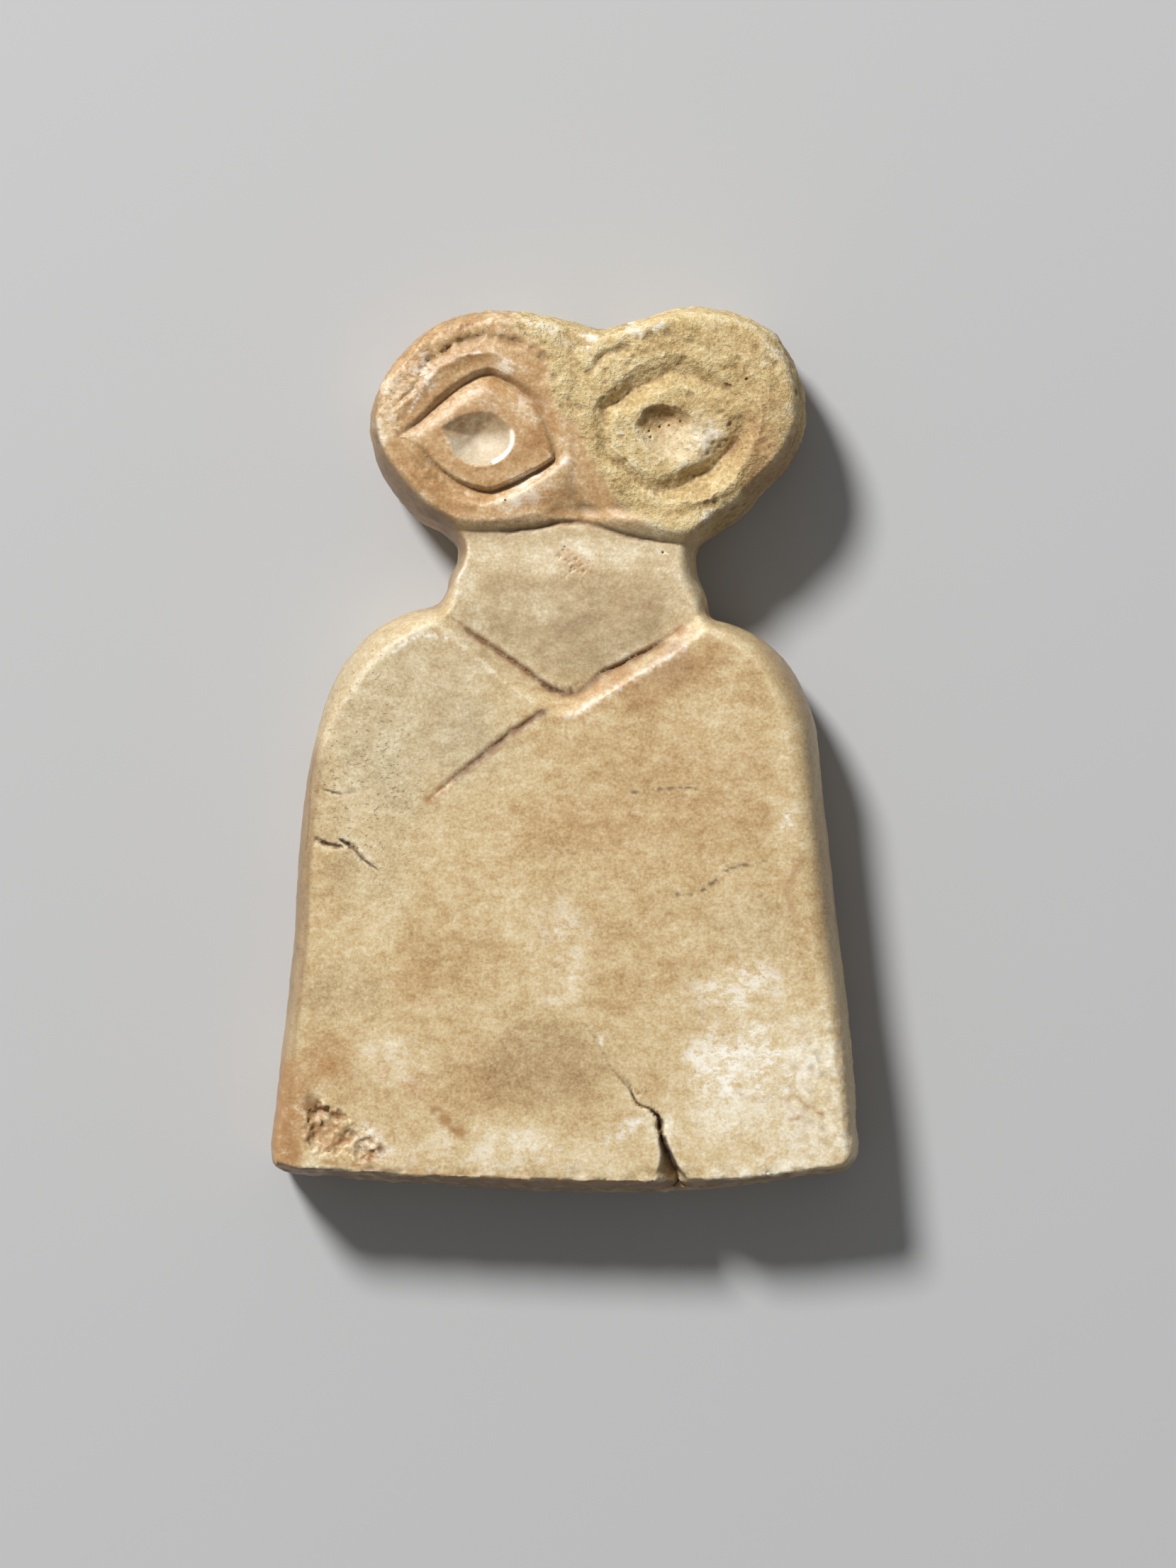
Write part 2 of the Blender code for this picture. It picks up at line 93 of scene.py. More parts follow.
# The groove round each eyeball, anticlockwise: x, y, depth, width out to the lid, width in on the ball
LEFT_EYE = (
    (-12, 22.7, 0.12, 0.4, 0.4), (-11.2, 22.3, 0.08, 0.4, 0.4), (-10.25, 21.7, 0.25, 0.6, 0.4),
    (-9.45, 20.8, 0.5, 1.1, 0.4), (-8.65, 20.1, 0.7, 1.4, 0.4), (-7.05, 19.15, 0.85, 1.4, 0.4),
    (-5.45, 18.8, 1, 1.1, 0.4), (-3.85, 19.3, 1.05, 1, 0.38), (-2.4, 20.05, 1, 0.95, 0.36),
    (-1.1, 20.75, 0.85, 0.8, 0.34), (-0.65, 21.1, 0.7, 0.9, 0.4), (-0.8, 22, 0.5, 1.3, 0.6),
    (-1.3, 23.6, 0.5, 1.2, 0.8), (-2.1, 25.1, 0.65, 0.9, 1), (-3.2, 26.1, 0.8, 0.65, 1.3),
    (-4.3, 26.85, 0.85, 0.6, 1.5), (-5.3, 27.3, 0.85, 0.55, 1.6), (-6.3, 27.1, 0.85, 0.55, 1.6),
    (-7.4, 26.55, 0.8, 0.55, 1.6), (-8.4, 25.75, 0.75, 0.55, 1.5), (-9.4, 24.85, 0.65, 0.55, 1.4),
    (-10.4, 23.9, 0.5, 0.5, 1.1), (-11.3, 23.2, 0.3, 0.45, 0.7),
)
RIGHT_EYE = (
    (2.7, 23.3, 0.25, 0.9, 1), (3.1, 21.7, 0.5, 0.9, 0.8), (4.1, 20.65, 0.55, 0.9, 0.7),
    (5.3, 19.6, 0.6, 1.2, 1), (6.9, 18.8, 0.75, 1.4, 1.4), (8.4, 19.1, 1, 1.7, 1.5),
    (10, 20, 1.2, 1.9, 1.6), (11.4, 21.1, 1.2, 1.9, 1.6), (12.5, 22.5, 0.7, 1.5, 1.6),
    (13, 24.6, 0.15, 1.1, 1.6), (12.3, 25.8, 0.25, 1, 1.6), (10.9, 26.5, 0.5, 1.1, 1.5),
    (9.5, 27.2, 0.6, 1.3, 1.5), (8.1, 27.5, 0.6, 1.5, 1.5), (6.6, 27.05, 0.8, 1.4, 1.5),
    (5.4, 26.45, 0.95, 1.4, 1.5), (4.2, 25.5, 1.05, 1.3, 1.4), (3.2, 24.7, 0.8, 1.1, 1),
)
# A hollow: deepest point, depth, and its rim: x, y, how round the wall is
LEFT_PUPIL = ((-6.6, 22.8), 1.4, (
    (-8.95, 23.4, 1), (-8.7, 22.85, 1), (-8.35, 22.2, 1.1), (-8, 21.45, 1.3), (-7.5, 21.05, 1.5),
    (-6.7, 20.7, 1.7), (-5.9, 20.55, 1.9), (-5.2, 20.75, 2.1), (-4.6, 21.1, 2.3), (-4, 21.75, 2.4),
    (-3.7, 22.6, 2.2), (-3.95, 23.45, 1.9), (-4.6, 24.15, 1.5), (-5.3, 24.5, 1.2), (-6.5, 24.5, 1),
    (-7.4, 24.3, 1), (-8.2, 23.95, 1), (-8.7, 23.6, 1),
))
RIGHT_PUPIL = ((7.1, 23.6), 1.35, (
    (5.1, 23.6, 1.4), (5.2, 22.8, 1.4), (5.8, 22, 1.3), (7, 21.3, 1.2), (8.4, 21, 1),
    (9.6, 21.4, 0.85), (10.1, 22.4, 0.8), (9.9, 23.4, 0.9), (9.5, 24.1, 1.2), (9, 24.65, 1.7),
    (8.2, 24.95, 2.3), (7.2, 25.05, 2.3), (6.2, 24.85, 1.9), (5.45, 24.3, 1.5),
))
CORNER_CHIPS = (
    ((-17.5, -26.8), 0.65, (
        (-18.8, -25.2, 1.2), (-18.6, -26.8, 1.3), (-19.1, -28.5, 1.1), (-17.9, -29.4, 1.1),
        (-16, -29.3, 0.9), (-14.6, -28.3, 0.8), (-14.8, -27.4, 0.8), (-16, -26.3, 1.5),
        (-17, -25.7, 2),
    )),
    ((-14.4, -29.2), 0.35, (
        (-15.6, -29, 1), (-14.9, -30.3, 1), (-13.3, -30, 1), (-12.9, -28.6, 1),
        (-14.2, -27.9, 1.2),
    )),
)

# Cut lines: x, y, depth, width on the left of the way along it, width on the right
LEFT_BROW = (
    (-9.6, 28.3, 0.3, 0.4, 0.5), (-8.95, 28.9, 0.6, 0.3, 0.6), (-7.85, 29.6, 0.55, 0.3, 0.7),
    (-7.05, 29.9, 0.5, 0.3, 0.7), (-5.9, 30.1, 0.5, 0.25, 0.8), (-5, 30, 0.3, 0.4, 0.8),
    (-3.3, 29.6, 0.3, 0.6, 0.6), (-1.9, 28.7, 0.4, 0.6, 0.6), (-1, 27.6, 0.2, 0.6, 0.6),
)
LEFT_OUTER_BROW = (
    (-12.3, 24.6, 0.15, 0.25, 0.3), (-11.9, 25.3, 0.3, 0.25, 0.3), (-11, 26.2, 0.3, 0.3, 0.35),
    (-10.2, 27.6, 0.45, 0.4, 0.4), (-9.8, 28.4, 0.3, 0.4, 0.4),
)
RIGHT_BROW = (
    (1.9, 27.5, 0.5, 0.45, 0.5), (2.8, 28.55, 0.55, 0.5, 0.6), (4, 29.2, 0.45, 0.7, 0.8),
    (6.4, 30, 0.35, 0.6, 1), (9.4, 29.7, 0.1, 0.8, 1.2), (13.8, 26.8, 0.1, 1, 1.2),
)
NECKLINE_CUT = (
    (-8.2, 9.6, 0.05, 0.2, 0.15), (-7.1, 8.75, 0.2, 0.25, 0.15), (-5.25, 7.45, 0.4, 0.3, 0.18),
    (-3, 6, 0.4, 0.3, 0.18), (-0.7, 4.35, 0.3, 0.3, 0.2), (0.6, 4, 0.12, 0.4, 0.4),
    (2.2, 5, 0.15, 0.4, 0.3), (3.2, 5.75, 0.4, 0.3, 0.18), (5.5, 6.85, 0.4, 0.3, 0.18),
    (7.2, 7.8, 0.25, 0.25, 0.15), (8.8, 9, 0.05, 0.2, 0.15),
)
CHEST_CUT = (
    (-1.5, 2.85, 0.1, 0.2, 0.2), (-2.9, 1.9, 0.24, 0.28, 0.32), (-4.4, 0.82, 0.26, 0.28, 0.34),
    (-5.9, -0.4, 0.24, 0.28, 0.34), (-8, -2.1, 0.2, 0.28, 0.32), (-9.9, -3.6, 0.05, 0.2, 0.2),
)
# The crease at the foot of the head's block
STEP_CUT = (
    (-8, 16, 0.03, 0.2, 0.2), (-4.5, 15.9, 0.08, 0.22, 0.2), (-2.5, 16.05, 0.2, 0.3, 0.2),
    (0.5, 16.6, 0.2, 0.3, 0.2), (2.3, 16.4, 0.1, 0.25, 0.2), (4.2, 15.7, 0.22, 0.35, 0.2),
    (6.5, 15.25, 0.22, 0.35, 0.2), (8.8, 15, 0.05, 0.25, 0.2),
)
# The left upper lid stands proud: a cut with a depth below nothing
LEFT_LID = (
    (-12.4, 24.4, -0.08, 0.8, 0.8), (-10.6, 26, -0.15, 0.8, 0.8), (-9, 27.6, -0.2, 0.9, 0.9),
    (-7.4, 28.5, -0.28, 0.8, 0.9), (-5.9, 28.9, -0.26, 0.8, 0.9), (-4.2, 28.4, -0.2, 0.9, 1),
    (-1.8, 26.4, -0.08, 1, 1),
)
# The ridge outside the lower groove of the right eye stands proud too
RIGHT_RIM = (
    (2.6, 22.2, -0.05, 0.6, 0.6), (4.3, 20, -0.18, 0.8, 0.9), (6.8, 18.3, -0.25, 0.9, 1),
    (9.3, 17.9, -0.28, 0.9, 1), (11.8, 19.1, -0.28, 1, 1.2), (13.6, 21.8, -0.25, 1, 1.4),
    (14.3, 24.8, -0.15, 1, 1.2), (13.6, 27.2, -0.05, 0.8, 0.8),
)
# The wide shallow band outside the lower groove of the left eye
LEFT_LOWER_BAND = (
    (-11, 21.2, 0.1, 0.5, 0.5), (-9.7, 20, 0.2, 0.7, 0.9), (-8, 18.9, 0.25, 0.7, 0.9),
    (-6.4, 18.3, 0.15, 0.5, 0.6), (-5, 18.2, 0.05, 0.4, 0.4),
)
BASE_SPLIT = (
    (4.2, -23.7, 0.1, 0.25, 0.25), (7.05, -27.2, 0.5, 0.3, 0.3), (7.15, -28.4, 1.3, 0.2, 0.25),
    (7.5, -29.2, 2, 0.22, 0.7), (7.9, -30.1, 2.6, 0.3, 1.3), (8.3, -31, 3, 0.5, 1.8),
    (8.5, -32.4, 3.2, 0.7, 2),
)
CUTS = (NECKLINE_CUT, CHEST_CUT, BASE_SPLIT, STEP_CUT, LEFT_LID, RIGHT_RIM)
WORN_CUTS = (LEFT_BROW, LEFT_OUTER_BROW, RIGHT_BROW, LEFT_LOWER_BAND)

# Cracks: x, y, depth, half width, or the half widths on the left and on the right
CRACKS = (
    ((-17.9, -6.45, 0.5, 0.16), (-17.3, -6.75, 0.6, 0.18), (-16.1, -7, 0.2, 0.1)),
    ((-16.3, -6.5, 0.2, 0.1), (-15.6, -6.95, 0.6, 0.16), (-15, -7.4, 0.3, 0.12)),
    ((-15.1, -7.5, 0.2, 0.1), (-14.4, -8.1, 0.35, 0.12), (-13.4, -8.75, 0.12, 0.08)),
    ((-17.6, -2.8, 0.15, 0.09), (-16.4, -3.15, 0.22, 0.1), (-14.9, -3.15, 0.1, 0.08)),
    ((2.6, -21.6, 0.03, 0.08, 0.08), (3.3, -22.9, 0.08, 0.09, 0.09), (4.1, -23.9, 0.2, 0.1, 0.1),
     (4.8, -24.7, 0.3, 0.11, 0.11), (5.3, -25.6, 0.3, 0.13, 0.13), (6.5, -26.2, 0.4, 0.13, 0.13),
     (6.9, -26.7, 0.7, 0.16, 0.16), (7, -27.4, 1.2, 0.28, 0.24), (7, -27.9, 0.5, 0.12, 0.12),
     (7.2, -28.3, 1, 0.22, 0.22)),
    ((5.2, -25, 0.1, 0.07), (5.6, -24.85, 0.1, 0.07), (6, -24.8, 0.05, 0.06)),
    ((-17.5, 1.7, 0.05, 0.08), (-18.1, -0.7, 0.1, 0.09), (-18.4, -2.1, 0.1, 0.09),
     (-18.5, -4.9, 0.12, 0.09), (-18.9, -8.1, 0.05, 0.08)),
    ((14.6, -29.8, 0.03, 0.08), (14.7, -30.4, 0.1, 0.08), (14.7, -31, 0.06, 0.08)),
)
# Small deep holes: x, y, radius
PINHOLES = (
    (13.27, 26.91, 0.14), (6.98, 23.5, 0.13), (7.67, 23.6, 0.13), (8.47, 23.86, 0.11), (6.2, 23.17, 0.12),
    (6.3, 22.7, 0.11), (7.2, 14.35, 0.12),
)

# How each part is tinted: x, y, half width, half height, turn in degrees, amount
# Mottles are paler than the stone, or darker with an amount below nothing
MOTTLES = (
    (-0.8, -22.4, 4.6, 3.3, 0, -0.4), (-6.2, -24.2, 3.6, 1.8, 10, -0.5), (-16.2, -17.4, 3.2, 2, 0, -0.45),
    (-7.5, -14.8, 3.6, 2.3, 0, -0.55), (-10.8, -16.8, 1.6, 1.8, 0, -0.5), (0.5, -5.6, 4.8, 2, 0, -0.25),
    (7.6, 5.3, 4.2, 1.8, 30, -0.75), (5.5, -0.5, 5.5, 2.6, 0, -0.45), (10.8, -6.6, 4.2, 3.6, 0, -0.4),
    (5, -12, 5.5, 2.2, 0, -0.3), (-16.6, -8.3, 2, 1.6, 0, -0.7), (4, -17.6, 1.6, 1.6, 0, -0.45),
    (7.8, -16.3, 1.7, 1, 0, -0.5), (-17.6, -22.6, 2.2, 1.8, 0, -0.4), (18, -12, 1, 5, 5, -0.5),
    (-14.4, -1.8, 3.2, 3.2, 0, 0.25), (-2, -31, 5, 0.6, 0, -0.4), (-9, -29.5, 3, 0.8, 0, -0.3),
    (-0.2, -16.2, 2.2, 2.6, 0, 0.4), (-12, -22.6, 3.2, 1.8, 0, 0.45), (-13.2, -9.5, 2.8, 5, 0, 0.3),
    (-9, -5, 2.5, 3, 0, 0.25), (10.6, 1.6, 2.2, 3, 0, 0.35), (12.5, -17, 3.2, 1.6, 0, 0.75),
    (14.8, -23.4, 5, 4, 0, 1.3), (10.4, -24.5, 2.6, 3.2, 0, 0.5), (14, -28.2, 7, 2.6, 0, 0.95),
    (-4, -28.8, 6, 1.8, 0, 0.7), (3.5, -29.4, 3, 1.5, 0, 0.6), (16.3, -4.5, 1.4, 4, 0, 0.45),
    (18.2, -20.5, 2.4, 3.6, 0, 0.4), (-3.5, -12.5, 2.2, 2, 0, 0.3), (-15, 6.2, 2.2, 2.6, -35, 0.4),
    (0.5, 8.6, 5, 2.2, 0, -0.6), (0, 14.3, 6.5, 1.3, 0, 0.6), (-7, 10.8, 1.1, 2, 0, 0.6),
    (6.2, 9.4, 1.2, 1.8, 0, -0.5), (8.6, 11.2, 0.9, 2.2, 0, 0.8), (-1, 11.6, 5, 0.8, 0, -0.35),
    (1.2, 6.2, 1.8, 1.5, 0, -0.35), (-1.8, 9.6, 1.5, 0.6, 10, 0.6),
    (-8.2, 24.6, 2.6, 0.7, 45, 0.8), (-5.5, 26.2, 1.8, 0.5, -5, 0.1), (-3.2, 25, 1.4, 0.8, -45, 0.5),
    (-3.8, 28.3, 1.6, 0.8, -40, 0.9), (-12.8, 23.4, 1.1, 1.6, 0, 1.1), (-12, 26.2, 1.2, 1.8, -35, 0.9),
    (-2.5, 19, 3, 0.7, 25, 1), (-6.5, 17.6, 2.6, 0.6, 0, -0.7), (0.8, 20.5, 0.8, 2.2, 15, 0.5),
    (-6.5, 20, 2.6, 0.6, -10, -0.6), (-2.2, 22.6, 1.2, 1.7, 0, -0.7), (-5.4, 28.6, 2.6, 0.6, 0, -0.3),
    (-9.5, 18.6, 2.5, 1, -35, -0.6), (-12.2, 20.5, 1.2, 2, 20, -0.5), (-9, 25.9, 2.4, 0.4, 45, -0.7),
    (14.6, 20.5, 2.8, 3.2, 30, -0.9), (13.6, 25.5, 2.2, 3.5, 0, -0.5), (8, 30.5, 4.5, 1, 0, -0.35),
    (9, 22.4, 2.5, 1.6, 10, 0.7), (4.6, 23, 1.2, 2.2, 0, 0.6), (6, 20.8, 2.2, 0.5, -40, 0.5),
    (5.2, 27.6, 2.2, 0.8, 30, 0.5), (-9, 29.7, 4.2, 1.2, 35, -1.1), (13, 3, 3, 4, 0, -0.25),
    # Darker on the upper wall of the right pupil: painted shade
    (7.4, 24.5, 1.4, 0.5, 0, -0.7),
)
GREYS = (
    (-11.5, 3, 6.5, 6.5, 30, 0.75), (-14, -6, 3.5, 6, 0, 0.35), (-2.4, 9.4, 4.6, 2.6, 0, 0.9),
    (3, 8, 4, 2.2, 0, 0.5), (-5.5, 0.5, 3, 3, 40, 0.2), (-16.2, -17.4, 3.2, 2, 0, 0.3),
    (-0.8, -22.4, 4.6, 3.3, 0, 0.25), (14, -13, 3, 2, 0, 0.3),
)
ORANGES = (
    (-20.5, -27.2, 1.8, 4.4, -3, 1.3), (-17.6, -22.6, 2, 1.8, 0, 0.5), (7.6, 5.3, 4.2, 1.8, 30, 0.45),
    (0.5, -5.6, 4.8, 2, 0, 0.3), (-10.8, -16.8, 1.6, 1.8, 0, 0.25), (10, -3, 6, 4, 0, 0.2),
    (-12.5, -23.1, 0.5, 0.6, 0, 0.8), (-10.7, -24.5, 0.9, 0.6, 20, 0.8), (-16.9, -22.7, 0.9, 0.7, 0, 0.5),
    (0.9, 13.8, 1.2, 0.9, -35, 0.5), (14.6, 20.3, 2.6, 3, 30, 0.7), (15, 24.5, 1.5, 2.5, 0, 0.4),
    (12.5, 29, 2.5, 1.5, -30, 0.3), (2.5, 3.9, 3.2, 0.7, 32, 0.6),
)
# Where small reddish brown specks gather
RUSTS = (
    (0.5, -5.6, 5.5, 2.8, 0, 0.9), (-7.5, -14.8, 4.5, 3, 0, 0.6), (7.6, 5, 5, 2.4, 30, 0.5),
    (5, -12, 6.5, 3.2, 0, 0.4), (17.6, -12, 1.6, 6, 5, 0.9), (-11, -24, 3, 3, 0, 0.4),
    (12, -17, 3.5, 2.5, 0, 0.4), (-16.5, -18.5, 3.5, 4, 0, 0.5), (0.9, 13.6, 1.4, 1.2, -35, 1),
    (13, 3, 3, 4, 0, 0.4), (13, 20.5, 3.5, 3.5, 0, 0.6), (8, -28, 7, 2.5, 0, 0.3),
    (15, -26.5, 3.5, 2, 0, 0.5),
)
# Where chalky white flecks gather, or with an amount below nothing, where they are few
CHALKS = (
    (12.5, -17, 3.4, 1.9, 10, 0.8), (14.4, -22.8, 4.8, 3, 0, 1.1), (18.2, -23.8, 1.8, 2.4, 0, -0.7),
    (17.6, -27.5, 3, 2.6, 0, 0.4), (10.4, -23.5, 2.6, 3.2, 0, 0.4), (-0.2, -14.5, 2.2, 3.6, 0, 0.4),
    (-12, -22.6, 3.2, 1.8, 0, 0.3), (-4, -29.5, 7, 1.6, 0, 0.45), (-13.8, -28.6, 1.6, 1, -30, 1.2),
    (-1.5, 30.5, 1.2, 0.7, 0, 0.6), (4.5, 30.6, 1.8, 0.6, 25, 0.9), (0.9, 29.8, 1.2, 0.5, 0, 0.8),
    (-10.6, 27, 1.1, 1.2, 50, 0.7),
    (-5.5, 25.6, 1.6, 0.6, -20, 0.4), (-2.6, 24.9, 0.9, 0.9, 0, 0.4), (-3.5, 27.9, 1.1, 0.7, -40, 0.6),
    (-2.4, 18.6, 2.6, 0.8, 25, 0.4), (10.8, 23.4, 1, 1.3, 0, 0.5), (4.6, -27.6, 1.4, 0.35, 40, 0.8),
    (16.9, -5.1, 0.5, 0.6, 0, 1), (10.2, 16.8, 1.1, 0.6, 45, 1), (15.8, 28.9, 0.8, 3.2, 35, 0.5),
)
# Brown stains on the edge roll, and painted shade where the roll faces away from the lamp
EDGE_STAINS_AND_SHADE = (
    (-20.4, -9.5, 3, 14, -3, 1.4), (0, -32, 26, 2, 0, 1.3), (-12.3, 17.6, 6, 4.4, -40, 1.9),
    (-15.2, 5.6, 2.4, 3.4, -35, 0.35), (-14.4, 23, 1.6, 4.6, 0, 1), (20.6, -14, 2.4, 20, 3, 0.45),
    (14.2, 18.5, 5, 4, 40, 0.8), (17.8, 25, 1.6, 5, 0, 0.4), (-8.6, 13.5, 1.6, 3, 0, 0.6),
    (17, 5, 3, 4, 0, 0.5),
)
# A darker patch with a clear edge: its middle and its rim
DARK_PATCH = ((-1.6, -22.6), (
    (0.9, -19.1), (-1, -19.5), (-3.4, -19.9), (-5.4, -21.6), (-8.6, -23.8), (-9, -25.6),
    (-5, -26.3), (-1, -26.2), (2.2, -25.6), (3.3, -24), (3, -22.4), (1.9, -20.7),
))
# A painted highlight on white mineral: the pale line that the lit wall of the left pupil ends in
PUPIL_CRESCENT = ((-3.8, 23.1), (-3.72, 22.6), (-3.95, 21.85), (-4.5, 21.25), (-5.1, 20.9))
# Thin marks: the tint, how strong, half width, and x, y along them
MARKS = (
    ("dirt_and_shade", 0.8, 0.1, ((5, -3.1), (6.5, -2.9), (8.2, -2.75), (9.8, -2.8))),
    ("dirt_and_shade", 0.9, 0.12, ((7.95, -10.4), (9.2, -10.6), (10.6, -9.8), (12, -8.7), (14.6, -8.1))),
    ("dirt_and_shade", 0.4, 0.1, ((1.5, -19.8), (2.3, -21), (3.3, -22.9))),
    ("dirt_and_shade", 1.3, 0.18, ((7.25, -28.2), (7.6, -29.1), (8, -29.9), (8.15, -30.4))),
    ("brown", 1.8, 0.3, ((-9.4, -26.1), (-8.6, -26.8), (-7.5, -27.8))),
    ("brown", 0.7, 0.3, ((17.3, -7.7), (16.7, -9.2), (16.2, -10.3), (16.5, -11.4), (16.9, -12.6))),
    ("brown", 0.9, 0.12, ((17.2, -25.4), (18, -26.1), (18.85, -26.5))),
    ("brown", 0.4, 0.12, ((12.5, -24.8), (13.8, -25.4), (15.4, -25.3), (16.4, -25.4))),
    ("brown", 0.8, 0.18, ((16.5, -26.9), (17.2, -26.6), (17.7, -26.3))),
    ("brown", 1, 0.35, (
        (-1.6, 2.8), (-2.9, 1.85), (-4.35, 0.75), (-5.85, -0.5), (-8, -2.15), (-9.9, -3.65))),
    ("brown", 0.3, 0.6, ((-0.2, 14.3), (0.6, 13.5), (1.7, 13))),
    # Brown and painted shade in the shaded groove at the upper right of the left eye
    ("brown", 0.8, 0.4, ((-4.9, 27.1), (-3.6, 26.6), (-2.4, 25.7), (-1.8, 24.7))),
    ("brown", 1.1, 1.1, ((-20.9, -23.5), (-21.1, -27), (-20.6, -29.6))),
    ("brown", 0.8, 0.16, ((-17.5, -29.9), (-10.5, -30.75), (-4, -31.1), (0.5, -31.4), (6.5, -31.5))),
    ("dirt_and_shade", 0.8, 0.35, ((-1.3, 4.7), (0, 4.3), (1, 4.6))),
    # Brown and painted shade on the shaded upper walls of the two pupils
    ("brown", 0.85, 0.9, ((-8, 23.7), (-6.6, 23.9), (-5.4, 23.9))),
    ("brown", 0.5, 0.7, ((5.8, 24), (6.8, 24.4), (8.3, 24.5))),
    ("brown", 0.9, 0.4, (
        (-7.4, 9), (-5.2, 7.4), (-3, 5.9), (-0.6, 4.2), (1.2, 4), (3.2, 5.4), (8.6, 8.7))),
    # White chips, scratches and streaks
    ("white_and_highlight", 0.7, 0.1, ((-1.5, -11), (-0.5, -13))),
    ("white_and_highlight", 1, 0.26, ((2.65, -21.15), (2.95, -20.95))),
    ("white_and_highlight", 0.6, 0.35, ((5.5, -26.8), (4.6, -27.6), (3.3, -28.4))),
    # Painted highlights: glints along crests, arrises and rims that face the lamp
    ("white_and_highlight", 0.5, 0.28, ((0.3, 2.4), (2.9, 3.85), (5.2, 5.3), (7.5, 6.65), (8.8, 7.4))),
    ("white_and_highlight", 0.9, 0.16, ((-12.7, 6.9), (-11.5, 7.8), (-10.6, 8.2), (-8.5, 8.1))),
    ("white_and_highlight", 0.7, 0.11, ((-8.1, 28.2), (-7.05, 28.6), (-6, 28.9))),
    ("white_and_highlight", 0.7, 0.18, ((-4.3, 28.2), (-3.8, 27.5))),
    ("white_and_highlight", 0.35, 0.12, ((-6.9, 26), (-5.8, 26.1), (-4.6, 25.75))),
    ("white_and_highlight", 0.8, 0.13, ((-3.2, 19.1), (-1.9, 19.9), (0.1, 20.95))),
    ("white_and_highlight", 0.8, 0.12, ((-11.2, 24.6), (-10.6, 25.6), (-9.9, 26.6))),
    ("white_and_highlight", 0.9, 0.2, ((1.4, 30.2), (2.4, 29.8))),
    ("white_and_highlight", 0.9, 0.2, ((6.4, 30.6), (7.2, 30.9))),
)

# The stone's own colours, from its darkest specks to its palest: place on the ramp, colour
PLAIN_STONE = (
    (0.1, (0.34, 0.19, 0.08)), (0.35, (0.52, 0.35, 0.165)), (0.5, (0.63, 0.465, 0.245)),
    (0.66, (0.73, 0.59, 0.36)), (0.95, (0.93, 0.86, 0.7)),
)
GREY_STONE = (
    (0.1, (0.29, 0.2, 0.11)), (0.42, (0.505, 0.4, 0.235)), (0.6, (0.64, 0.535, 0.34)),
    (0.95, (0.87, 0.8, 0.63)),
)
PINK_STONE = (
    (0.1, (0.36, 0.23, 0.12)), (0.42, (0.5, 0.375, 0.212)), (0.6, (0.61, 0.48, 0.29)),
    (0.95, (0.88, 0.8, 0.61)),
)
ORANGE_STONE = (
    (0.1, (0.33, 0.15, 0.05)), (0.42, (0.47, 0.265, 0.11)), (0.6, (0.575, 0.365, 0.175)),
    (0.95, (0.86, 0.73, 0.54)),
)
YELLOW_STONE = (
    (0.1, (0.33, 0.195, 0.07)), (0.42, (0.565, 0.4, 0.175)), (0.6, (0.72, 0.55, 0.275)),
    (0.95, (0.9, 0.81, 0.57)),
)
# What lies on the stone
RUST_SPECK = (0.36, 0.19, 0.08)
CHALK_FLECK = (0.95, 0.9, 0.79)
# Dust and painted shade in the hollows
HOLLOW_DUST_AND_SHADE = (0.3, 0.2, 0.11)
# Edge grime, and painted shade on the sides and the base face that face away from the lamp
EDGE_GRIME_AND_SHADE = (0.25, 0.15, 0.075)
PORE = (0.37, 0.23, 0.115)
# Brown marks, with painted shade on the pupils' upper walls
BROWN_MARK_AND_SHADE = (0.39, 0.2, 0.075)
# White chips, and painted highlights and glints
WHITE_MARK_AND_HIGHLIGHT = (0.93, 0.88, 0.78)
# Dirt, and painted shade along the creases
DEEP_DIRT_AND_SHADE = (0.12, 0.065, 0.035)

# In metres. The lamp is high at the upper left, and the camera looks straight down
LAMP_PLACE = Vector((-0.41, 0.59, 0.7)) * 1.2
LAMP_WIDTH = 0.26
CAMERA_PLACE = (0.00167, -0.00248, 0.45)
FLOOR_HALF_WIDTH = 2.0


def smooth_curve(stations, closed=False, per_span=8):
    """A smooth curve through the stations. Every column after x and y is carried along it."""
    rows = np.array(stations, float)
    if closed:
        rows = np.vstack((rows[-1:], rows, rows[:2]))
    else:
        rows = np.vstack((2 * rows[:1] - rows[1:2], rows, 2 * rows[-1:] - rows[-2:-1]))
    spans = np.diff(rows, axis=0)
    lengths = np.linalg.norm(spans[:, :2], axis=1)[:, None]
    slopes = spans / lengths
    tangents = (slopes[:-1] * lengths[1:] + slopes[1:] * lengths[:-1]) / (lengths[:-1] + lengths[1:])
    lengths = lengths[1:-1]
    t = np.arange(per_span)[:, None, None] / per_span
    curve = (rows[1:-2] * (1 - t) ** 2 * (1 + 2 * t) + rows[2:-1] * t ** 2 * (3 - 2 * t)
             + lengths * (tangents[:-1] * t * (1 - t) ** 2 - tangents[1:] * t ** 2 * (1 - t)))
    curve = curve.transpose(1, 0, 2).reshape(-1, rows.shape[1])
    return curve if closed else np.vstack((curve, rows[-2:-1]))


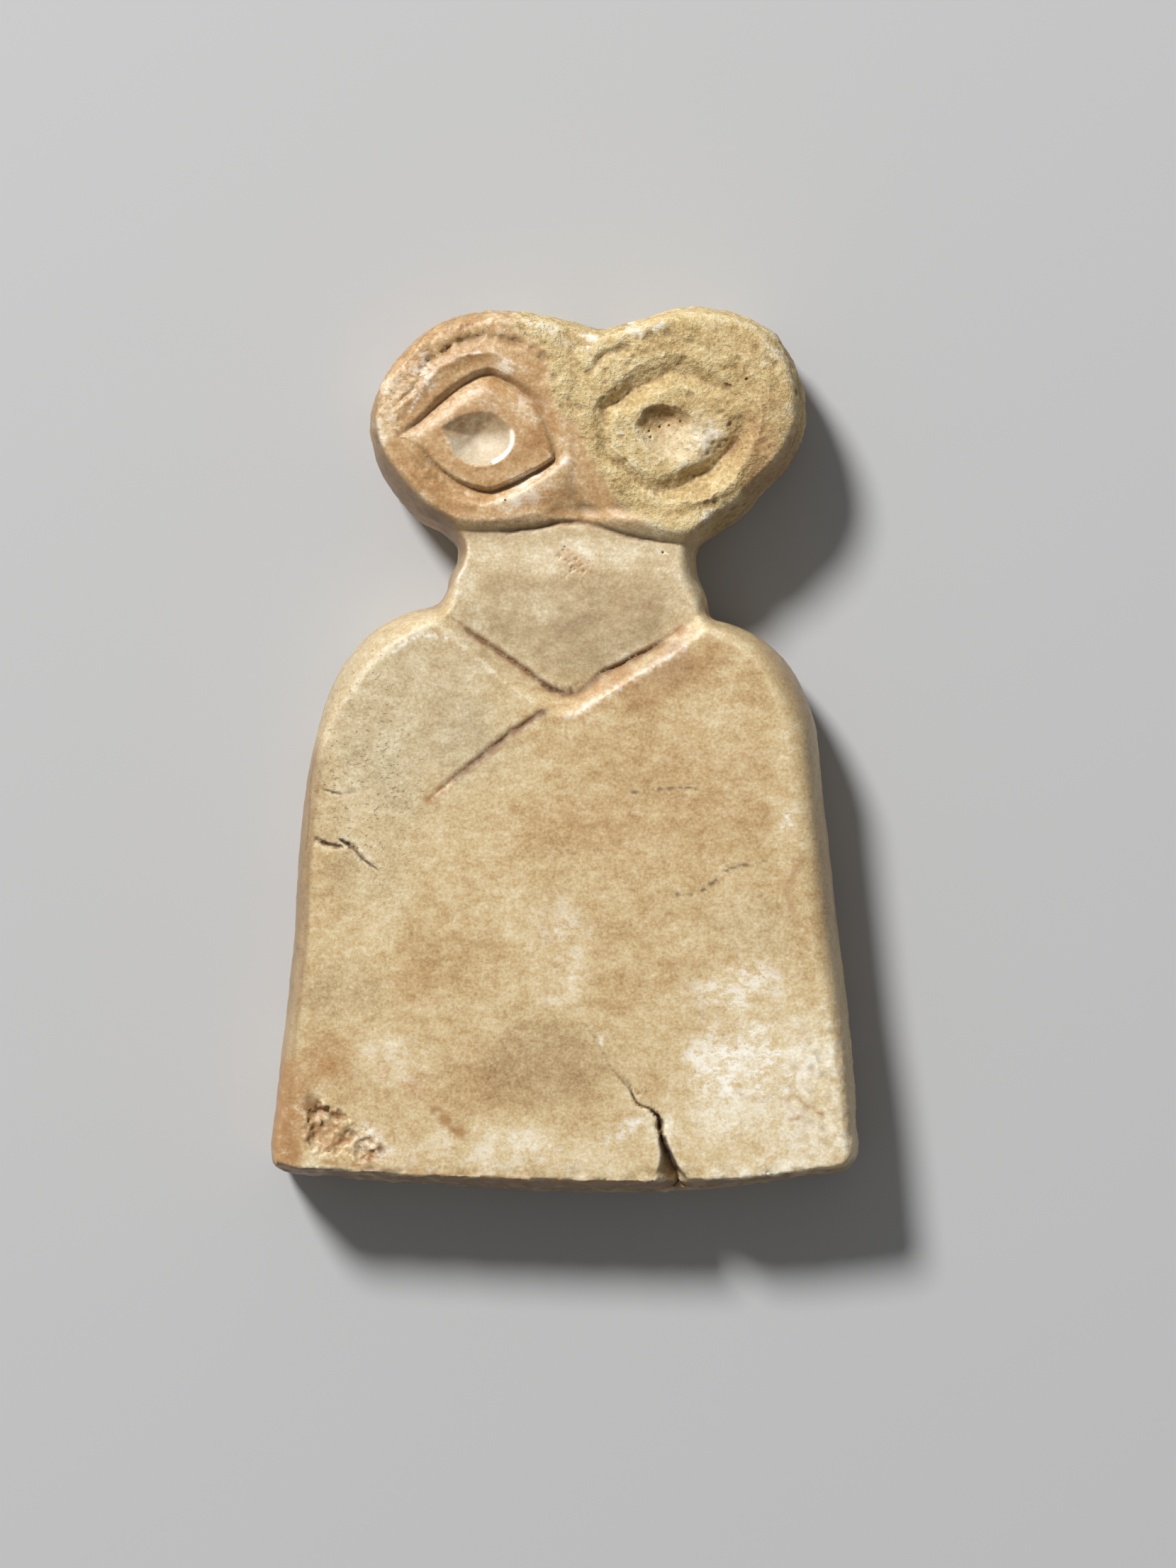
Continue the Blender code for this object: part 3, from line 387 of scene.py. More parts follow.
def nearest_on(curve, points, closed=False, reach=3.0):
    """Distance to a curve, up to a reach, the side (+1 on its left) and the curve's columns there."""
    starts, ends = curve, np.roll(curve, -1, axis=0)
    if not closed:
        starts, ends = starts[:-1], ends[:-1]
    best = np.full(len(points), reach * reach)
    side = np.zeros(len(points))
    columns = np.tile(curve[0, 2:], (len(points), 1))
    low, high = curve[:, :2].min(axis=0) - reach, curve[:, :2].max(axis=0) + reach
    x, y = points.T
    near = np.flatnonzero((x > low[0]) & (x < high[0]) & (y > low[1]) & (y < high[1]))
    x, y = x[near], y[near]
    for start, end in zip(starts, ends):
        low = np.minimum(start[:2], end[:2]) - reach
        high = np.maximum(start[:2], end[:2]) + reach
        close = near[(x > low[0]) & (x < high[0]) & (y > low[1]) & (y < high[1])]
        way = end[:2] - start[:2]
        offset = points[close] - start[:2]
        t = np.clip(offset @ way / (way @ way), 0, 1)
        gap = offset - t[:, None] * way
        distance = (gap * gap).sum(axis=1)
        closer = distance < best[close]
        found = close[closer]
        best[found] = distance[closer]
        side[found] = np.sign(way[0] * offset[closer, 1] - way[1] * offset[closer, 0])
        columns[found] = start[2:] + t[closer, None] * (end[2:] - start[2:])
    return np.sqrt(best), side, columns


def put_in_scene(name, data):
    thing = bpy.data.objects.new(name, data)
    bpy.context.scene.collection.objects.link(thing)
    return thing


def ease(t):
    t = np.clip(t, 0, 1)
    return t * t * (3 - 2 * t)


def clouds(places, size, octaves=3, seed=0):
    """Soft random values around nothing, in patches of about the given size."""
    if places.shape[1] == 2:
        places = np.column_stack((places, np.zeros(len(places))))
    spots = places / size + np.array((17.3, 9.1, 5.7)) * (seed + 1)
    return np.array([noise.fractal(spot, 1.0, 2.0, octaves) for spot in spots.tolist()])


def pits(places, size, share, seed=0):
    """Round pits in a share of the cells of a random pattern: 1 in their middles, 0 outside them."""
    spots = places / size + np.array((3.7, 11.9, 8.3)) * (seed + 1)
    found = np.zeros(len(places))
    for number, spot in enumerate(spots.tolist()):
        distances, middles = noise.voronoi(spot)
        chance = noise.cell(middles[0] * 13.7)
        if abs(chance) < share:
            found[number] = max(0.0, 1.0 - (distances[0] / 0.45) ** 2)
    return found


def cut(points, stations, sharpness=1.5):
    """The relief of one cut line, zero away from it."""
    distance, side, columns = nearest_on(smooth_curve(stations), points, reach=2.0)
    width = np.where(side > 0, columns[:, 1], columns[:, -1])
    return -columns[:, 0] * (1 - np.clip(distance / width, 0, 1)) ** sharpness


def share_of_way(points, middle, rim):
    """How far each point is on its way from a middle to a rim, and the rim's further columns there."""
    curve = smooth_curve(rim, closed=True)
    spokes = curve[:, :2] - middle
    turns = np.arctan2(spokes[:, 1], spokes[:, 0])
    gaps = points - middle
    way = np.arctan2(gaps[:, 1], gaps[:, 0])
    columns = (np.linalg.norm(spokes, axis=1), *curve[:, 2:].T)
    reach, *further = [np.interp(way, turns, column, period=2 * np.pi) for column in columns]
    return np.linalg.norm(gaps, axis=1) / reach, *further


def hollow(points, deepest, depth, rim):
    """The relief of a bowl whose walls rise from its deepest point to a rim."""
    share, roundness = share_of_way(points, deepest, rim)
    return -depth * (1 - np.clip(share, 0, 1) ** roundness)


def eye_groove(points, stations, worn):
    """The relief of the groove round an eyeball: steep to the lid, rounder on the ball, soft if worn."""
    distance, side, columns = nearest_on(smooth_curve(stations, closed=True), points, closed=True)
    on_ball = side > 0
    width = np.where(on_ball, columns[:, 2], columns[:, 1])
    fall = 1 - np.clip(distance / width, 0, 1)
    steep = fall ** np.where(on_ball, 1.9, 1.7)
    return -columns[:, 0] * (0.55 * ease(fall) + 0.45 * steep if worn else steep)


def level_between(stations, x):
    """The two y columns of a line that crosses the idol from side to side."""
    curve = smooth_curve(stations)
    return np.interp(x, curve[:, 0], curve[:, 1]), np.interp(x, curve[:, 0], curve[:, 2])


def broad_relief(points):
    """The head's block, the neck panel and the body, as depths below the top."""
    x, y = points.T
    arris, foot = level_between(HEAD_STEP_LINE, x)
    bottom, body_edge = level_between(NECKLINE, x)
    cut_strength = ease((NECKLINE_HALF_SPAN - np.abs(x - NECKLINE_AXIS)) / 2.6)
    floor = NECK_MID_DEPTH + (NECKLINE_DEPTH - NECK_MID_DEPTH) * cut_strength
    near_floor = 1 - ease((y - bottom) / 2.8)
    near_head = ease(((y - bottom) / (foot - bottom) - 0.6) / 0.4)
    panel = (NECK_MID_DEPTH + (floor - NECK_MID_DEPTH) * near_floor
             + (NECK_TOP_DEPTH - NECK_MID_DEPTH) * near_head)
    head = NECK_TOP_DEPTH * (1 - np.clip((y - foot) / (arris - foot), 0, 1)) ** 1.15
    body = floor * (1 - np.clip((bottom - y) / (bottom - body_edge), 0, 1)) ** 1.1
    return -np.where(y > foot, head, np.where(y > bottom, panel, body))


def lobe_falls(points):
    """How far the two lobes of the head fall away towards their rims."""
    left, right = [np.linalg.norm((points - centre) / radii, axis=1) for centre, radii in LOBES]
    depth = 0.35 + 0.4 * ease(0.5 + (left - right) / 0.6)
    fall = depth * np.clip((np.minimum(left, right) - 0.66) / 0.34, 0, 1.2) ** 2
    return fall * ease((points[:, 1] - 16.6) / 1.2)


def patch(points, centre, radii, turn=0.0, soft=0.5):
    """A soft-edged oval: 1 inside it and 0 outside."""
    cosine, sine = np.cos(np.radians(turn)), np.sin(np.radians(turn))
    turned = np.array(((cosine, sine), (-sine, cosine)))
    away = np.linalg.norm((points - centre) @ turned.T / radii, axis=1)
    return 1 - ease((away - 1 + soft) / (2 * soft))


def band(points, line, width, soft=0.5):
    """A soft-edged band along a line of x, y stations, as wide as told to each side."""
    curve = smooth_curve([station[:2] for station in line])
    distance = nearest_on(curve, points, reach=2 * width + 0.5)[0]
    return 1 - ease((distance / width - 1 + soft) / (2 * soft))


# Where the smooth, orange left eye ends and the rough, yellow right one begins
ROUGH_EDGE = (
    (-3.9, 33), (-3.4, 30.6), (-1.6, 29.3), (-1.1, 27.4), (-0.9, 25.6), (1.1, 23.3), (1.7, 22),
    (2.3, 20.5), (3.1, 19.7), (3.8, 18.2), (5.2, 17), (7.5, 15.8), (8.8, 13.5),
)
# The middle of the pitted rim above the left eye
PITTED_RIM = (
    (-13.2, 23.5), (-12.4, 26), (-10.9, 28.2), (-8.6, 30.2), (-6, 31.2), (-3.6, 31), (-2.6, 30.2),
)


def rough_zone(points):
    """How far a point lies in the eroded right eye."""
    x, y = points.T
    edge_x, edge_y = np.array(ROUGH_EDGE[::-1]).T
    side = np.where(x < np.interp(y, edge_y, edge_x), -1, 1)
    distance = nearest_on(smooth_curve(ROUGH_EDGE), points, reach=1.2)[0]
    wander = 0.35 * clouds(points, 1.3, 3, 4)
    return ease(0.5 + (distance * side + wander) / 0.7) * ease(y - 15.2)


def brow_zone(points):
    """How far a point lies in the pitted rim above the left eye."""
    return band(points, PITTED_RIM, 1.25, 0.45)


def worn_zones(places):
    """The eroded right eye and the pitted rim. The eye's edge wanders where it runs down the sides."""
    drift = 1.8 * clouds(places, 2.5, 3, 27) * (1 - ease((places[:, 2] - 6.5) / 3))
    plan = places[:, :2]
    return rough_zone(plan + np.outer(drift, (1, 0))), brow_zone(plan)


def face_relief(points):
    """How high the carved face lies at each plan point, above the slab's plain top."""
    wobble = np.column_stack((clouds(points, 1.6, 4, 1), clouds(points, 1.6, 4, 2)))
    rough, brow = rough_zone(points), brow_zone(points)
    carved = points + wobble * (0.06 + 0.16 * rough + 0.12 * brow)[:, None]
    relief = broad_relief(carved) - lobe_falls(points)
    relief += eye_groove(carved, LEFT_EYE, False) + eye_groove(carved, RIGHT_EYE, True)
    for shape in (LEFT_PUPIL, RIGHT_PUPIL):
        relief += hollow(carved, *shape)
    ragged = points + 0.7 * wobble
    for shape in CORNER_CHIPS:
        relief += hollow(ragged, *shape)
    for stations in CUTS:
        relief += cut(carved + 0.09 * wobble, stations)
    worn = np.clip(0.7 + 1.1 * clouds(points, 0.9, 3, 21), 0.1, 1.4)
    for stations in WORN_CUTS:
        relief += worn * cut(carved, stations)
    for stations in CRACKS:
        relief += np.clip(worn + 0.25, 0.3, 1.3) * cut(points + 0.2 * wobble, stations, 1.0)
    return relief - 0.3 * pinholes(points)


def pinholes(points):
    """The small deep holes: 1 in their middles, 0 outside them."""
    return sum(np.clip(1 - np.linalg.norm(points - (x, y), axis=1) / radius, 0, 1)
               for x, y, radius in PINHOLES)


def outline_curve():
    """The outline with its roll width, its inward normals and its own places as columns."""
    curve = smooth_curve(OUTLINE, closed=True)
    way = np.roll(curve, -1, axis=0)[:, :2] - np.roll(curve, 1, axis=0)[:, :2]
    way /= np.linalg.norm(way, axis=1)[:, None]
    return np.column_stack((curve, way[:, 1], -way[:, 0], curve[:, :2]))


def edge_shape(plan, inward_way):
    """How square the edge roll is round the idol, and how much the right side is bevelled."""
    x, y = plan.T
    body = ease((5 - y) / 4)
    right = body * ease((-inward_way[:, 0] - 0.8) / 0.15)
    left = body * ease((inward_way[:, 0] - 0.8) / 0.15)
    base = ease((inward_way[:, 1] - 0.8) / 0.15) * (y < -28)
    jowl = ease((inward_way[:, 1] - 0.1) / 0.4) * ease((y - 14.5) / 2) * ease((np.abs(x - 1) - 8.5) / 2)
    return ROLL_SHAPE + 2.4 * left + 1.2 * right - 1.0 * base - 0.75 * jowl, 0.5 * right


def lay_on_form(places):
    """Where the corners of the cut-up solid lie on its smooth form."""
    plan, height = places[:, :2], places[:, 2]
    distance, side, columns = nearest_on(outline_curve(), plan, closed=True)
    roll, inward_way, foot = columns[:, 0], columns[:, 1:3], columns[:, 3:5]
    inward = np.where(side > 0, 0, np.clip(distance / roll, 0, 1))
    shape, bevel = edge_shape(plan, inward_way)
    top = THICKNESS - WIDEST_LEVEL + face_relief(plan) - bevel * (1 - inward)
    laid = places.copy()
    on_face = height > WIDEST_LEVEL - 0.001
    by_height = np.arcsin(np.clip((height - WIDEST_LEVEL) / top, 0, 1))
    by_place = np.arccos((1 - inward) ** (shape / 2))
    flatness = ease((inward - 0.1) / 0.4)
    turn = by_height + (by_place - by_height) * flatness
    step = roll * (1 - np.cos(turn) ** (2 / shape))
    rolled = foot + inward_way * step[:, None]
    laid[on_face, :2] = (rolled + (plan - rolled) * flatness[:, None])[on_face]
    laid[on_face, 2] = (WIDEST_LEVEL + top * np.sin(turn))[on_face]
    levels, insets = np.array(BACK_LEVELS).T
    step = roll * np.interp(height, levels, insets)
    low = ~on_face & ((height > 0.01) | (distance < 0.7 * roll))
    laid[low, :2] = (foot + inward_way * step[:, None])[low]
    return laid


# How long the edges of the small faces may be
EVEN_STEP = 0.44
RIM_STEP = 0.3
PINHOLE_STEP = 0.1
ANY_LENGTH = 9.0
COARSE_BELOW = 5.0    # the sides are left as they are under this height
HALVINGS = 3
# Lines, the longest edge on them, and how much longer it may be for each millimetre away
FINE_LINES = (
    [(crack, 0.13, 0.5) for crack in CRACKS]
    + [(line, 0.14, 0.5) for line in (NECKLINE_CUT, CHEST_CUT, STEP_CUT)]
    + [(line, 0.2, 0.4) for line in (BASE_SPLIT, LEFT_BROW)]
    + [(line, 0.2, 0.6) for tint, amount, width, line in MARKS]
)
LINE_REACH = 1.2
# Ovals: middle, half width and half height, the longest edge in them
FINE_SPOTS = (
    ((-6.2, 23.6), (6.2, 5.8), 0.16), ((8.3, 23.4), (7.0, 6.6), 0.16), ((1.5, 24.0), (16.5, 9.5), 0.3),
    ((-16.2, -27.8), (3.3, 2.6), 0.2), ((-14.5, 0.5), (4.5, 7.5), 0.3), ((7.5, -30.0), (1.6, 2.6), 0.3),
    ((0.7, 13.5), (1.5, 1.5), 0.14), ((1.0, 8.0), (11.5, 7.0), 0.3),
    *(((x, y), (0.3, 0.3), PINHOLE_STEP) for x, y, radius in PINHOLES),
)


def edge_length(middles):
    """The longest edge that the mesh may have at each place."""
    plan, height = middles[:, :2], middles[:, 2]
    length = np.full(len(middles), ANY_LENGTH)
    for line, finest, growth in FINE_LINES:
        distance = nearest_on(smooth_curve(line, per_span=4), plan, reach=LINE_REACH)[0]
        near = distance < LINE_REACH
        length[near] = np.minimum(length, finest + growth * distance)[near]
    for centre, radii, finest in FINE_SPOTS:
        inside = patch(plan, centre, radii, 0, 0.05) > 0.5
        length[inside] = np.minimum(length[inside], finest)
    distance, _, columns = nearest_on(outline_curve(), plan, closed=True)
    on_rim = distance < 1.3 * columns[:, 0]
    length[on_rim] = np.minimum(length[on_rim], RIM_STEP)
    length[height < COARSE_BELOW] = ANY_LENGTH
    return length


def even_copy():
    """A copy of the solid in millimetres whose faces are small squares, as a bmesh."""
    shape = bmesh.new()
    shape.from_mesh(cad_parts["eye_idol"].data)
    bmesh.ops.remove_doubles(shape, verts=shape.verts, dist=1e-6)
    bmesh.ops.scale(shape, verts=shape.verts, vec=[MM_PER_METRE] * 3)
    mesh = bpy.data.meshes.new("rough_block")
    shape.to_mesh(mesh)
    block = put_in_scene("rough_block", mesh)
    even = block.modifiers.new("even", "REMESH")
    even.mode = "VOXEL"
    even.voxel_size = EVEN_STEP
    shape.clear()
    shape.from_object(block, bpy.context.evaluated_depsgraph_get())
    bpy.data.objects.remove(block)
    return shape


def refine(shape):
    """Halves the edges that are longer than they may be, in a few rounds at most."""
    for _ in range(HALVINGS):
        shape.verts.index_update()
        places = np.array([corner.co[:] for corner in shape.verts])
        ends = np.array([[corner.index for corner in side.verts] for side in shape.edges])
        spans = np.linalg.norm(places[ends[:, 0]] - places[ends[:, 1]], axis=1)
        too_long = spans > edge_length(places[ends].mean(axis=1))
        if not too_long.any():
            break
        chosen = [side for side, long in zip(shape.edges, too_long) if long]
        bmesh.ops.subdivide_edges(shape, edges=chosen, cuts=1, use_grid_fill=True)
    bmesh.ops.triangulate(shape, faces=shape.faces)


def erode(places, normals, rough, brow):
    """Fine wear all over, pits, and the granular surface of the eroded parts, along the normals."""
    plan = places[:, :2]
    head = ease((plan[:, 1] - 15.5) / 1.5)
    grain = clouds(places, 0.5, 4, 5)
    sand = clouds(places, 0.3, 1, 10)
    coarse = clouds(places, 1.7, 4, 6)
    broad = clouds(places, 9.0, 2, 7)
    wear = 0.03 * broad + 0.01 * coarse * (1 + 3.5 * head) + head * (0.014 * grain + 0.008 * sand)
    rough = rough * (1 - 0.6 * patch(plan, (8.2, 22.6), (2.6, 1.6), 10, 0.5))
    wear += rough * (0.03 * grain + 0.03 * sand + 0.055 * coarse)
    wear += brow * (0.07 * grain + 0.04 * sand + 0.06 * coarse)
    lumpy = patch(plan, (19.2, -24.5), (3.0, 6.0), 0, 0.5)
    wear += lumpy * (0.025 * coarse + 0.08 * grain)
    small = pits(places, 0.5, 0.16, 1)
    large = pits(places, 0.9, 0.1, 2)
    wear -= rough * (0.09 * small + 0.18 * large) + brow * (0.06 * small + 0.12 * large)
    shoulder = patch(plan, (-14.8, 0.0), (4.0, 8.0), 8, 0.45)
    wear -= shoulder * 0.035 * pits(places, 0.7, 0.25, 3) * (places[:, 2] > 6)
    neck_scar = patch(plan, (0.9, 13.2), (1.3, 0.75), -15, 0.5)
    scar_tip = patch(plan, (-0.2, 14.3), (0.45, 0.4), 0, 0.5)
    wear -= (neck_scar + scar_tip) * 0.16 * pits(places, 0.3, 0.6, 4)
    ragged = plan + 0.5 * np.column_stack((coarse, grain))
    chip = np.clip(sum(ease(-hollow(ragged, *shape) / shape[1] / 0.25) for shape in CORNER_CHIPS), 0, 1)
    wear += chip * (0.34 * clouds(places, 0.8, 4, 8) + 0.06 * sand) * (places[:, 2] > 5)
    arris = ease((-30.2 - plan[:, 1]) / 0.6) * (places[:, 2] > 5)
    wear += arris * (0.2 * clouds(places, 1.3, 4, 13) - 0.06)
    side = (places[:, 2] < 8.0) & (places[:, 2] > 0.05)
    wear += np.where(side, 0.05 * coarse + 0.03 * grain, 0)
    back = places[:, 2] < 0.05
    moved = places + normals * np.where(back, 0, wear)[:, None]
    moved[back, 2] += np.clip(0.12 * clouds(places[back], 3.5, 3, 9), 0, 0.3)
    moved[:, 2] = np.maximum(moved[:, 2], 0)
    return moved


def carve_idol():
    """The idol's mesh in metres, and the places of its corners on the smooth form in millimetres."""
    shape = even_copy()
    curve = outline_curve()
    low, high = curve[:, :2].min(axis=0), curve[:, :2].max(axis=0)
    box_low, box_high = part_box("eye_idol")
    size = [MM_PER_METRE * (box_high[i] - box_low[i]) / (high[i] - low[i]) for i in (0, 1)]
    size.append(MM_PER_METRE * box_high[2] / FULL_THICKNESS)
    middle = (low + high) / 2
    bmesh.ops.scale(shape, verts=shape.verts, vec=[1 / part for part in size])
    bmesh.ops.translate(shape, verts=shape.verts, vec=(middle[0], middle[1], 0))
    refine(shape)
    shape.verts.ensure_lookup_table()
    places = lay_on_form(np.array([corner.co[:] for corner in shape.verts]))
    for corner, place in zip(shape.verts, places):
        corner.co = place
    shape.normal_update()
    normals = np.array([corner.normal[:] for corner in shape.verts])
    moved = erode(places, normals, *worn_zones(places))
    for corner, place in zip(shape.verts, moved):
        corner.co = place
    bmesh.ops.recalc_face_normals(shape, faces=shape.faces)
    bmesh.ops.translate(shape, verts=shape.verts, vec=(-middle[0], -middle[1], 0))
    bmesh.ops.scale(shape, verts=shape.verts, vec=[part / MM_PER_METRE for part in size])
    mesh = bpy.data.meshes.new("carved_idol")
    shape.to_mesh(mesh)
    shape.free()
    mesh.shade_smooth()
    return mesh, places


class Shade:
    """A socket of a finish, with arithmetic that adds Math nodes."""

    def __init__(self, finish, socket):
        self.finish = finish
        self.socket = socket

    def maths(self, operation, *values):
        return self.finish.node("ShaderNodeMath", {"operation": operation}, dict(enumerate(values)))

    def __add__(self, other):
        return self.maths("ADD", self, other)

    def __radd__(self, other):
        return self.maths("ADD", other, self)

    def __sub__(self, other):
        return self.maths("SUBTRACT", self, other)

    def __rsub__(self, other):
        return self.maths("SUBTRACT", other, self)

    def __mul__(self, other):
        return self.maths("MULTIPLY", self, other)

    def __rmul__(self, other):
        return self.maths("MULTIPLY", other, self)

    def within(self, low, high):
        """0 below low, 1 above high, and a soft step between them."""
        return self.finish.node("ShaderNodeMapRange", {"interpolation_type": "SMOOTHSTEP"},
                                {"Value": self, "From Min": low, "From Max": high})


class Finish:
    """A material whose nodes are added one by one."""

    def __init__(self, name):
        self.material = bpy.data.materials.new(name)
        self.material.use_nodes = True
        self.tree = self.material.node_tree
        self.shader = self.tree.nodes["Principled BSDF"]

    def node(self, kind, settings=None, inputs=None, output=0):
        made = self.tree.nodes.new(kind)
        for name, value in (settings or {}).items():
            setattr(made, name, value)
        for name, value in (inputs or {}).items():
            self.feed(made.inputs[name], value)
        return Shade(self, made.outputs[output])

    def feed(self, socket, value):
        if isinstance(value, Shade):
            self.tree.links.new(value.socket, socket)
        else:
            socket.default_value = value

    def attribute(self, name):
        return self.node("ShaderNodeAttribute", {"attribute_name": name}, {}, "Fac")

    def mottle(self, place, per_mm, detail, roughness=0.6, distortion=0.0):
        return self.node("ShaderNodeTexNoise", {}, {
            "Vector": place, "Scale": per_mm * MM_PER_METRE, "Detail": detail, "Roughness": roughness,
            "Distortion": distortion,
        })

    def shades(self, value, *stops):
        """A colour from a value, through stops of a place and a colour."""
        made = self.node("ShaderNodeValToRGB", {}, {0: value})
        ramp = made.socket.node.color_ramp
        while len(ramp.elements) < len(stops):
            ramp.elements.new(0.5)
        for element, (place, colour) in zip(ramp.elements, stops):
            element.position = place
            element.color = (*colour, 1.0)
        return made

    def tint(self, colour, other, share):
        """A colour that turns into another by a share."""
        other = (*other, 1.0) if isinstance(other, tuple) else other
        return self.node("ShaderNodeMix", {"data_type": "RGBA"}, {0: share, 6: colour, 7: other}, 2)


def alabaster():
    stone = Finish("worn_alabaster")
    place = stone.node("ShaderNodeTexCoord", {}, {}, "Object")
    streaked = stone.node("ShaderNodeVectorMath", {"operation": "MULTIPLY"}, {0: place, 1: (0.85, 1.2, 1.0)})
    cloud = stone.mottle(place, 0.3, 9, 0.62, 0.3)
    speck = stone.mottle(streaked, 1.0, 7, 0.72)
    fleck = stone.mottle(streaked, 1.7, 6, 0.75)
    grain = stone.mottle(place, 4.5, 3, 0.7)
    (mottles, proud, hollowed, yellow, orange, grey, pink, rust, chalk, edges, white_and_highlight, dirt_and_shade, pocked, brown) = [
        stone.attribute(name) for name in ("mottles", "proud", "hollowed", "yellow", "orange", "grey", "pink",
                                           "rust", "chalk", "edges", "white_and_highlight", "dirt_and_shade", "pocked", "brown")]
    pock = stone.mottle(streaked, 2.6, 3, 0.6).within(0.6, 0.68) * pocked
    # Paler where the surface stands proud: worn crests and a painted highlight
    value = (0.5 + (cloud - 0.5) * (0.42 + pink * 0.7)
             + (speck - 0.5) * (0.8 + yellow * 0.4 + orange * 0.3) + (grain - 0.5) * 0.8
             + mottles * 0.17 + proud * 0.17)
    body = stone.shades(value, *PLAIN_STONE)
    for share, stops in ((grey, GREY_STONE), (pink, PINK_STONE),
                         (orange, ORANGE_STONE), (yellow, YELLOW_STONE)):
        body = stone.tint(body, stone.shades(value, *stops), share)
    for colour, share in (
        (RUST_SPECK, fleck.within(0.54, 0.68) * (0.1 + rust * 0.62)),
        (CHALK_FLECK, (fleck + cloud * 0.5).within(0.72, 0.86) * chalk * 0.9),
        (HOLLOW_DUST_AND_SHADE, hollowed * (0.3 + speck * 0.6)),
        (EDGE_GRIME_AND_SHADE, edges * (0.15 + speck * 0.8)),
        (PORE, pock * 0.75),
        (BROWN_MARK_AND_SHADE, brown * (0.3 + speck * 0.8)),
        (WHITE_MARK_AND_HIGHLIGHT, white_and_highlight),
        (DEEP_DIRT_AND_SHADE, dirt_and_shade * (0.5 + speck * 0.9)),
    ):
        body = stone.tint(body, colour, share)
    stone.feed(stone.shader.inputs["Base Color"], body)
    roughness = 0.36 + yellow * 0.42 + dirt_and_shade * 0.3 + speck * 0.16 + hollowed * 0.15
    stone.feed(stone.shader.inputs["Roughness"], roughness)
    bump = stone.node("ShaderNodeBump", {}, {
        "Strength": 0.8, "Distance": 0.25 / MM_PER_METRE,
        "Height": speck * (0.12 + yellow * 0.25) + grain * (0.12 + yellow * 0.8) - pock * 0.4,
    })
    stone.feed(stone.shader.inputs["Normal"], bump)
    stone.shader.inputs["Subsurface Weight"].default_value = 0.12
    stone.shader.inputs["Subsurface Radius"].default_value = (1.0, 0.6, 0.35)
    stone.shader.inputs["Subsurface Scale"].default_value = 0.4 / MM_PER_METRE
    return stone.material


def blots(points, table):
    """Soft ovals with ragged edges, added up."""
    ragged = points + np.column_stack((clouds(points, 2.2, 4, 11), clouds(points, 2.2, 4, 12))) * 1.1
    return sum(amount * patch(ragged, (x, y), (wide, high), turn, 0.45)
               for x, y, wide, high, turn, amount in table)


# How often the mesh is smoothed to find what stands proud of it
SMOOTHINGS = 10


def relief_of(mesh):
    """How proud each corner stands of its neighbourhood, in millimetres, and which way it faces."""
    count = len(mesh.vertices)
    places, normals = np.zeros(count * 3), np.zeros(count * 3)
    ends = np.zeros(len(mesh.edges) * 2, int)
    mesh.vertices.foreach_get("co", places)
    mesh.vertices.foreach_get("normal", normals)
    mesh.edges.foreach_get("vertices", ends)
    places, normals = places.reshape(-1, 3) * MM_PER_METRE, normals.reshape(-1, 3)
    ends = ends.reshape(-1, 2)
    shares = np.bincount(ends.ravel(), minlength=count)
    smooth = places.copy()
    for _ in range(SMOOTHINGS):
        drawn = np.column_stack([
            np.bincount(ends[:, 0], smooth[ends[:, 1], axis], count)
            + np.bincount(ends[:, 1], smooth[ends[:, 0], axis], count) for axis in range(3)
        ])
        smooth = 0.5 * smooth + 0.5 * drawn / shares[:, None]
    return ((places - smooth) * normals).sum(axis=1), normals


def base_crust_and_shade(places, facing):
    """The brown crust on the base face, with painted shade as the face turns away from the lamp, thinner to
    its right and towards its foot.
    """
    x, y, height = places.T
    speckle = clouds(places, 1.1, 4, 28)
    return (ease((-facing[:, 1] - 0.25) / 0.35) * (y < -29) * (0.3 + 0.7 * ease((13 - x) / 9))
            * (0.15 + 0.85 * ease((height - 6.6 + 2.5 * speckle) / 2.2))
            * np.clip(0.75 + 1.6 * speckle, 0, 1.4))


def thin_marks(plan):
    """The thin marks of each tint, added up."""
    thin = {"dirt_and_shade": 0, "brown": 0, "white_and_highlight": 0}
    for tint, amount, width, line in MARKS:
        thin[tint] = thin[tint] + amount * band(plan, line, width, 0.6)
    return thin


